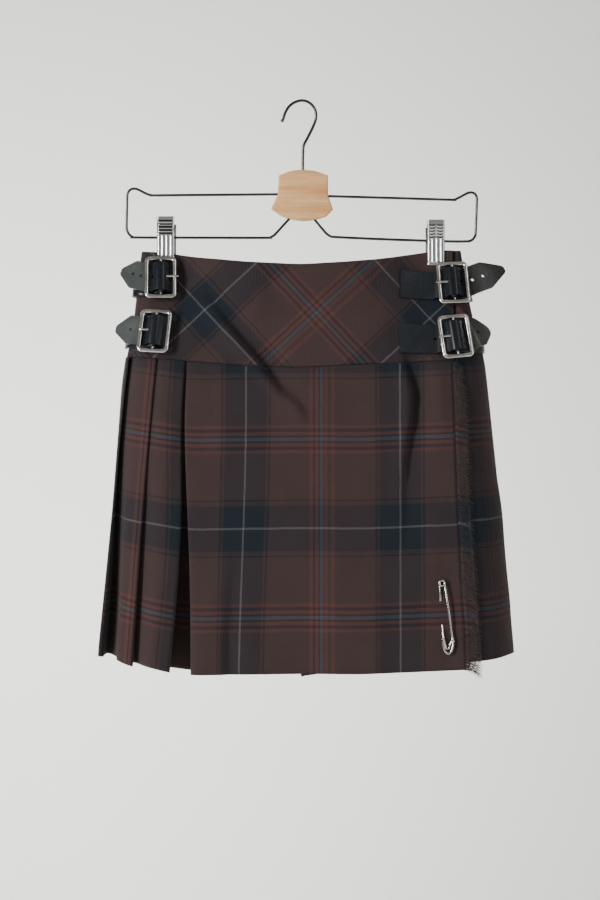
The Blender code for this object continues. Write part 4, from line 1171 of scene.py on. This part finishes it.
thread = leather("waxed_thread", (16, 18, 22), (24, 26, 30))
pale_thread = leather("grey_thread", (58, 62, 68), (74, 78, 84))
for seat, lines in (
        (hardware[2], [[(-51.5, 12.5), (-51.5, -12.5), (-31, -12.5), (-31, 12.5), (-51.5, 12.5)]]
         + [[(-51 + d, 12), (-31, 12 - (20 - d) * 1.15)] for d in (0, 4, 8, 12, 16)]
         + [[(-51, 12 - d), (-51 + (24 - d) / 1.15, -12)] for d in (4.5, 9, 13.5, 18)]),
        (hardware[3], [[(-53, 12.5), (-53, -12.5), (-33, -12.5), (-33, 12.5), (-53, 12.5)],
                       [(-53, 12.5), (-33, -12.5)], [(-53, -12.5), (-33, 12.5)]])):
    def on_strap(along, across, seat=seat):
        a, b = turned(seat.spec, along, across)
        return seat.place(a, b, seat.cloth(a, b) + 2.62)
    wear(stitches("stitches_" + seat.spec["name"], lines, 1.7, 0.9, 0.38, on_strap), pale_thread)


def skirt_front(x, z):
    """Outer face of the apron at a place seen from the front."""
    top = lookup(FRONT_SEAM, x) - SEAM_GAP
    share = (top - z) / (top - lookup(FRONT_HEM, x))
    level = section(SKIRT, "down", SKIRT_LENGTH * share)
    station = front_station(level["left"], level["right"], level["half"], x)
    return skirt_base(level, station)[1] + apron_lift(x, -30, z, 0.0, min(1, max(0, share))) - 0.4


def smooth_path(points, steps):
    """Points along a smooth curve through a route."""
    ends = [points[0], *points, points[-1]]
    path = []
    for k in range(1, len(ends) - 2):
        p0, p1, p2, p3 = (Vector(ends[k + j]) for j in (-1, 0, 1, 2))
        for step in range(steps):
            t = step / steps
            path.append(0.5 * (2 * p1 + (p2 - p0) * t + (2 * p0 - 5 * p1 + 4 * p2 - p3) * t * t
                               + (3 * p1 - p0 - 3 * p2 + p3) * t ** 3))
    path.append(Vector(points[-1]))
    return path


# ---- kilt pin
def on_apron(x, z, stand):
    return x, skirt_front(x, z) - stand, z


bar = [on_apron(146.6, -531.5, 3.0), on_apron(145.2, -520, 3.8), on_apron(142.6, -500, 4.6),
       on_apron(139.8, -482, 4.0)]
coil = [on_apron(137.0 + 2.6 * math.cos(t), -478.4 + 2.6 * math.sin(t), 4.0 - 0.26 * (t + 0.4))
        for t in (-0.4 + 0.5 * k for k in range(19))]
leg = [on_apron(134.9, -484, 1.2), on_apron(135.3, -490, 0.9), on_apron(135.6, -496, -0.2)]
pin = tube("pin_wire", smooth_path(bar + coil + leg, 3), 1.05)
emerging = tube("pin_point", smooth_path([on_apron(137.2, -519, -0.2), on_apron(137.8, -525, 1.0),
                                          on_apron(138.6, -534, 1.7)], 4), 0.95)
wear(ride_as(joined(pin, emerging), "kilt_pin"), nickel)
loop = [(146.8, -531, 3.2), (147.4, -537, 3.4), (146.6, -543, 3.2), (143.6, -547, 2.8),
        (140.2, -545.2, 2.5), (138.4, -540.4, 2.4), (137.6, -535, 2.5)]
inner_loop = [(149.2, -534.6, 3.2), (146.2, -534.9, 3.6), (144.6, -538.2, 3.2), (143.6, -541.6, 2.6),
              (141.4, -542.2, 2.6), (139.8, -538, 2.8), (138.4, -533.4, 3.0), (136.6, -532.6, 2.6)]
clasp = tube("pin_clasp", smooth_path([on_apron(*p) for p in loop], 5), 1.25)
curl = tube("pin_curl", smooth_path([on_apron(*p) for p in inner_loop], 5), 1.0)
wear(ride_as(joined(clasp, curl), "kilt_pin_clasp"), nickel)

# ---- row of stitches beside the fringe
edge_line = []
for k in range(61):
    level = soft_section(SKIRT, "down", k / 60 * 299, 14)
    top, low = lookup(FRONT_SEAM, level["cut"]) - SEAM_GAP, lookup(FRONT_HEM, level["cut"])
    edge_line.append((level["cut"] - 1.6, top + (low - top) * k / 60))
wear(stitches("edge_stitches", [edge_line], 1.9, 0.8, 0.3, lambda x, z: on_apron(x, z, 0.12)),
     thread)


# ---- fringe
def fringe():
    """Frayed yarns beside the apron's cut edge, in the colours of the weft."""
    chance = random.Random(7)
    points, faces, uvs = [], [], []
    number = 1500
    for k in range(number):
        share = (k + chance.random()) / number
        level = soft_section(SKIRT, "down", share * SKIRT_LENGTH, 14)
        start = front_station(level["left"], level["right"], level["half"], level["cut"])
        long = (level["fray"] - level["cut"]) * chance.uniform(0.72, 1.1)
        drop = chance.gauss(7.5, 2.0) * (1.2 if share > 0.97 else 1.0)
        wave, lean = chance.uniform(0, 6.3), chance.uniform(-0.9, 0.9)
        stand = chance.uniform(-0.6, 1.5)
        path = []
        for j in range(6):
            t = j / 5
            s = start - 1.5 + (long + 1.5) * (t ** 0.95)
            x, y = layered(skirt_base, level, s, -stand * math.sin(math.pi * min(1, t * 1.2)) * t)
            top, low = lookup(FRONT_SEAM, x) - SEAM_GAP, lookup(FRONT_HEM, x)
            z = top + (low - top) * share
            z -= drop * t * t * 0.7 + drop * 0.3 * t + lean * math.sin(wave + 5 * t) * t
            x += 0.35 * math.sin(wave * 2 + 6 * t) * t
            path.append(Vector((x, y, z)))
        v = ((1 - share) * SKIRT_LENGTH - WEFT_WHITE) / WEFT_REPEAT
        thick = chance.uniform(0.24, 0.44)
        base = len(points)
        for j, place in enumerate(path):
            size = thick * (1 - 0.55 * j / 5)
            for s in range(3):
                turn = 2.1 * s + j * 0.7
                points.append((place.x, place.y + math.cos(turn) * size,
                               place.z + math.sin(turn) * size))
                uvs.append((chance.random() * 0.02 + k * 0.013 % 1.0, v))
        for j in range(5):
            for s in range(3):
                a, b = base + j * 3 + s, base + j * 3 + (s + 1) % 3
                faces.append((a, b, b + 3, a + 3))
        faces.append((base + 15, base + 16, base + 17))
    return new_object("fringe_yarns", points, faces, uvs)


def fringe_look():
    nodes = Nodes("fringe_wool")
    uv = nodes.node("ShaderNodeUVMap", uv_map="cloth").outputs[0]
    split = nodes.node("ShaderNodeSeparateXYZ")
    nodes.put(uv, split.inputs[0])
    weft = sett_ramp(nodes, split.outputs[1], WEFT_SETT, WEFT_REPEAT)
    strand = nodes.noise(uv, 230.0, 2.0)
    fuzz = nodes.noise(nodes.coords(), 900.0, 3.0)
    tone = nodes.mix(nodes.range(strand, 0.3, 0.7, 0.0, 1.0), (0.5, 0.5, 0.5),
                     (2.1, 2.0, 2.0))
    nodes.put(nodes.mix(1.0, weft, tone, "MULTIPLY"), nodes.shader.inputs["Base Color"])
    nodes.put(nodes.range(fuzz, 0.2, 0.8, 0.8, 0.97), nodes.shader.inputs["Roughness"])
    nodes.shader.inputs["Sheen Weight"].default_value = 0.15
    nodes.bump(fuzz, 0.4, 0.0002)
    return nodes.material


yarns = ride_as(fringe(), "fringe")
wear(yarns, fringe_look())


# ---- hanger
HOOK = [(-19, -18), (-16.8, -11), (-13, -4.6), (-7, -0.2), (0.8, 1.5), (8, -1.2),
        (13, -7.5), (14, -16), (10.5, -26), (5, -37), (1.6, -44), (0.9, -55),
        (0.8, -66), (0.8, -74)]
LEFT_WIRE = [(-20, -92.3), (-80, -92.8), (-146, -93.4), (-151, -93.2),
             (-155.5, -91.8), (-163, -88), (-166, -86.9), (-169.2, -86.8),
             (-172.2, -88.2), (-174, -91), (-174.7, -95), (-175.3, -124.5),
             (-174.6, -129), (-172.6, -132.6), (-169.6, -134.7), (-165.5, -135.5),
             (-100, -135.7), (-36, -135.8), (-31.5, -135.2), (-28, -133.3),
             (-25, -130.3), (-13, -117), (-11, -114)]
RIGHT_WIRE = [(20, -94), (90, -96), (149, -97.8), (152.8, -97.5), (156, -96.2),
              (164, -91.9), (167, -90.7), (170.2, -90.6), (173, -92), (174.6, -95),
              (174.9, -99), (173.7, -130), (173, -134), (171, -137.2), (168, -138.9),
              (164, -139.4), (142.9, -139.3), (80, -137.2), (34, -135.1),
              (29.5, -134.6), (26, -132.8), (23, -130), (12.5, -117.5),
              (11, -115)]
for node, route, radius in (("hanger_hook", HOOK, 1.5), ("hanger_wire_left", LEFT_WIRE, WIRE_RADIUS),
                            ("hanger_wire_right", RIGHT_WIRE, WIRE_RADIUS)):
    wire = tube(node + "_wire", smooth_path([(x, 0, z) for x, z in route], 8), radius, 16)
    if node == "hanger_hook":
        size = [0.3, 1.2, 1.75, 1.95, 1.75, 1.3]
        ball = tube("ball", [(-19.3 - 0.2 * k, 0, -17.0 - 0.62 * k) for k in range(6)], size, 16)
        joined(wire, ball)
    wear(ride_as(wire, node), dark_wire)

BLOCK_RIGHT = [(-68.2, 0.8), (-68.6, 8), (-69.8, 14), (-74, 26), (-94, 26), (-107.7, 31),
               (-114.6, 24), (-118, 13), (-119.2, 1.5)]
BLOCK_LEFT = [(-68.2, 0.8), (-68.6, -6), (-69.8, -12), (-74, -23), (-94, -24.5), (-107, -30.6),
              (-114, -21), (-117.8, -10), (-119.2, 1.5)]


def block():
    """The wooden block: a flat upper face, a ridge and a sloping lower face."""
    def side(table, z):
        flipped = [(-place, x) for place, x in table]
        return ramp(flipped, -z)
    rows = []
    heights = [-68.3, -68.5, -69] + [-69.8 - 0.7 * k for k in range(69)] + [-118.4, -118.9, -119.15]
    for z in heights:
        left, right = side(BLOCK_LEFT, z), side(BLOCK_RIGHT, z)
        half = ramp([(68.2, 5.2), (69.5, 6.8), (72, 7.5), (91.6, 7.5), (92.6, 7.9), (95.2, 7.9),
                     (96.0, 7.4), (116.5, 6.0), (118.6, 5.3), (119.2, 4.6)], -z)
        corner = min(1.8, (right - left) / 2 * 0.8)
        row = []
        for sx, sy, start in ((1, 1, 0), (-1, 1, 90), (-1, -1, 180), (1, -1, 270)):
            for k in range(5):
                turn = math.radians(start + 90 * k / 4)
                x = (right + left) / 2 + sx * ((right - left) / 2 - corner) + corner * math.cos(turn)
                row.append((x, sy * (half - corner) + corner * math.sin(turn), z))
        rows.append(row)
    across = len(rows[0])
    faces = []
    for r in range(len(rows) - 1):
        for c in range(across):
            a, b = r * across + c, r * across + (c + 1) % across
            faces.append((a, a + across, b + across, b))
    faces.append(tuple(range(across)))
    faces.append(tuple(range((len(rows) - 1) * across, len(rows) * across))[::-1])
    made = new_object("hanger_block_wood", [p for row in rows for p in row], faces)
    made.data.set_sharp_from_angle(angle=math.radians(32))
    return made


wear(ride_as(block(), "hanger_block"), pale_wood)


# ---- clips
def clip_front(name, x, top, bottom, pivot):
    """Pressed plate of a clip, with grip ridges above and ribs below."""
    profile = [(-top, 8.6), (9 - top, 7.0), (-pivot - 4, 4.3), (4 - pivot, 4.1), (-bottom, 4.7)]
    points = []
    across, down = 40, 96
    for r in range(down + 1):
        z = top + (bottom - top) * r / down
        out = soft_ramp(profile, -z, 1.5)
        for c in range(across + 1):
            s = 2 * c / across - 1
            grip = top - z
            relief = 0.0
            if name == "left" and 3.8 < grip < 18.4:
                relief = 0.5 * max(0.0, math.sin(2 * math.pi * (grip - 5.3) / 3.0)) * (abs(s) < 0.8)
            elif name == "right" and 5 < grip < 18:
                bow = grip + 1.6 * abs(abs(s) - 0.5)
                relief = 0.5 * max(0.0, math.sin(2 * math.pi * bow / 2.9)) * (abs(s) > 0.12)
            if grip > 18:
                ribs = ease((grip - 18) / 1.5) * ease((z - bottom - 2.0) / 2)
                relief = 0.75 * ribs * abs(math.sin(math.pi * (s + 1) * 2)) ** 0.7
            edge = 1.1 * max(0.0, abs(s) - 0.88) / 0.12
            points.append((x + 8.5 * s, -(out + relief - edge), z))
    made = new_object("clip_plate_" + name, points, grid_faces(down + 1, across + 1))
    shell(made, 0.8)
    return ride_as(made, f"clip_{name}_front")


def paint_groove_shade(made, name, x, top):
    """Painted shade: near-black metal in the hollows between a clip's grip ridges."""
    made.data.materials.append(groove_painted_shade)
    for face in made.data.polygons:
        s, grip = (face.center.x / MM - x) / 8.5, top - face.center.z / MM
        if name == "left":
            inside = 3.4 < grip < 18.4 and abs(s) < 0.8 and (grip - 3.4) % 3.0 < 1.9
        else:
            bow = grip + 1.6 * abs(abs(s) - 0.5) - 5.0
            inside = 0.0 < bow < 14.6 and 0.12 < abs(s) < 0.8 and bow % 2.9 < 1.35
        if inside and face.normal.y < -0.2:
            face.material_index = 1


# Painted shade for the grip hollows: a near-black metal colour.
groove_painted_shade = metal("clip_groove", (0.025, 0.025, 0.027), (0.012, 0.012, 0.013), 0.4, 0.6)
for name, x, top, bottom, pivot in (("left", -136.1, -115.0, -157.0, -135.7),
                                    ("right", 133.7, -118.3, -163.5, -139.2)):
    made = clip_front(name, x, top, bottom, pivot)
    wear(made, chrome)
    paint_groove_shade(made, name, x, top)

# Painted shade: the clips' back plates and springs get a darker chrome colour for the shade they sit
# in.
shaded_chrome = metal("clip_shadow_plate", (0.34, 0.34, 0.35), (0.2, 0.2, 0.21), 0.2, 0.4)
for node in ("clip_left_back", "clip_right_back", "clip_left_spring", "clip_right_spring"):
    kept = bpy.data.objects[node]
    kept.data.materials.clear()
    kept.data.materials.append(shaded_chrome)


# ---- room, light and camera
def backdrop():
    """A pale floor that sweeps up into a wall."""
    profile = [(-4.5, -1.5), (2.6, -1.5)]
    profile += [(2.6 + 0.8 * math.sin(a), -0.7 - 0.8 * math.cos(a))
                for a in (math.pi / 2 * k / 16 for k in range(1, 17))]
    profile += [(3.4, 3.4)]
    points = [(x * 1000, y * 1000, z * 1000) for y, z in profile for x in (-4.5, 4.5)]
    faces = [(2 * k, 2 * k + 1, 2 * k + 3, 2 * k + 2) for k in range(len(profile) - 1)]
    made = new_object("studio_sweep", points, faces)
    nodes = Nodes("studio_paper")
    place = nodes.coords()
    cloudy = nodes.noise(place, 1.3, 3.0)
    nodes.put(nodes.mix(cloudy, (0.88, 0.88, 0.84), (0.84, 0.84, 0.80)),
              nodes.shader.inputs["Base Color"])
    nodes.put(nodes.range(cloudy, 0, 1, 0.85, 0.98), nodes.shader.inputs["Roughness"])
    nodes.bump(nodes.noise(place, 400.0, 3.0), 0.03, 0.0003)
    made.data.materials.append(nodes.material)


def soft_light(name, place, target, size, power, colour):
    lamp = bpy.data.lights.new(name, "AREA")
    lamp.shape = "RECTANGLE"
    lamp.size, lamp.size_y = size
    lamp.energy = power
    lamp.color = colour
    made = bpy.data.objects.new(name, lamp)
    made.location = place
    made.rotation_euler = (Vector(target) - Vector(place)).to_track_quat("-Z", "Y").to_euler()
    made.visible_camera = False
    bpy.context.scene.collection.objects.link(made)


backdrop()
soft_light("window", (-2.2, -2.0, 0.1), (0, 0, -0.4), (0.6, 1.6), 82.0, (1.0, 0.99, 0.97))
soft_light("strip", (1.9, -2.0, 1.9), (0.05, 0, -0.3), (0.3, 2.0), 12.0, (0.99, 0.99, 1.0))
soft_light("side_fill", (2.7, -0.7, -0.3), (0, 0, -0.4), (1.0, 1.6), 10.0, (1.0, 0.99, 0.98))
soft_light("wall_wash", (-0.8, 1.3, -0.5), (-0.6, 3.4, -0.7), (1.6, 1.6), 95.0, (1.0, 1.0, 0.98))

world = bpy.data.worlds.new("room")
world.use_nodes = True
world.node_tree.nodes["Background"].inputs["Color"].default_value = (0.86, 0.87, 0.86, 1.0)
world.node_tree.nodes["Background"].inputs["Strength"].default_value = 0.28
bpy.context.scene.world = world

lens = bpy.data.cameras.new("photo_camera")
lens.lens = 100.0
lens.sensor_width = 36.0
lens.clip_start = 0.05
camera = bpy.data.objects.new("photo_camera", lens)
camera.location = (-0.002, -2.5, -0.348)
camera.rotation_euler = (math.radians(90), 0, 0)
bpy.context.scene.collection.objects.link(camera)
bpy.context.scene.camera = camera
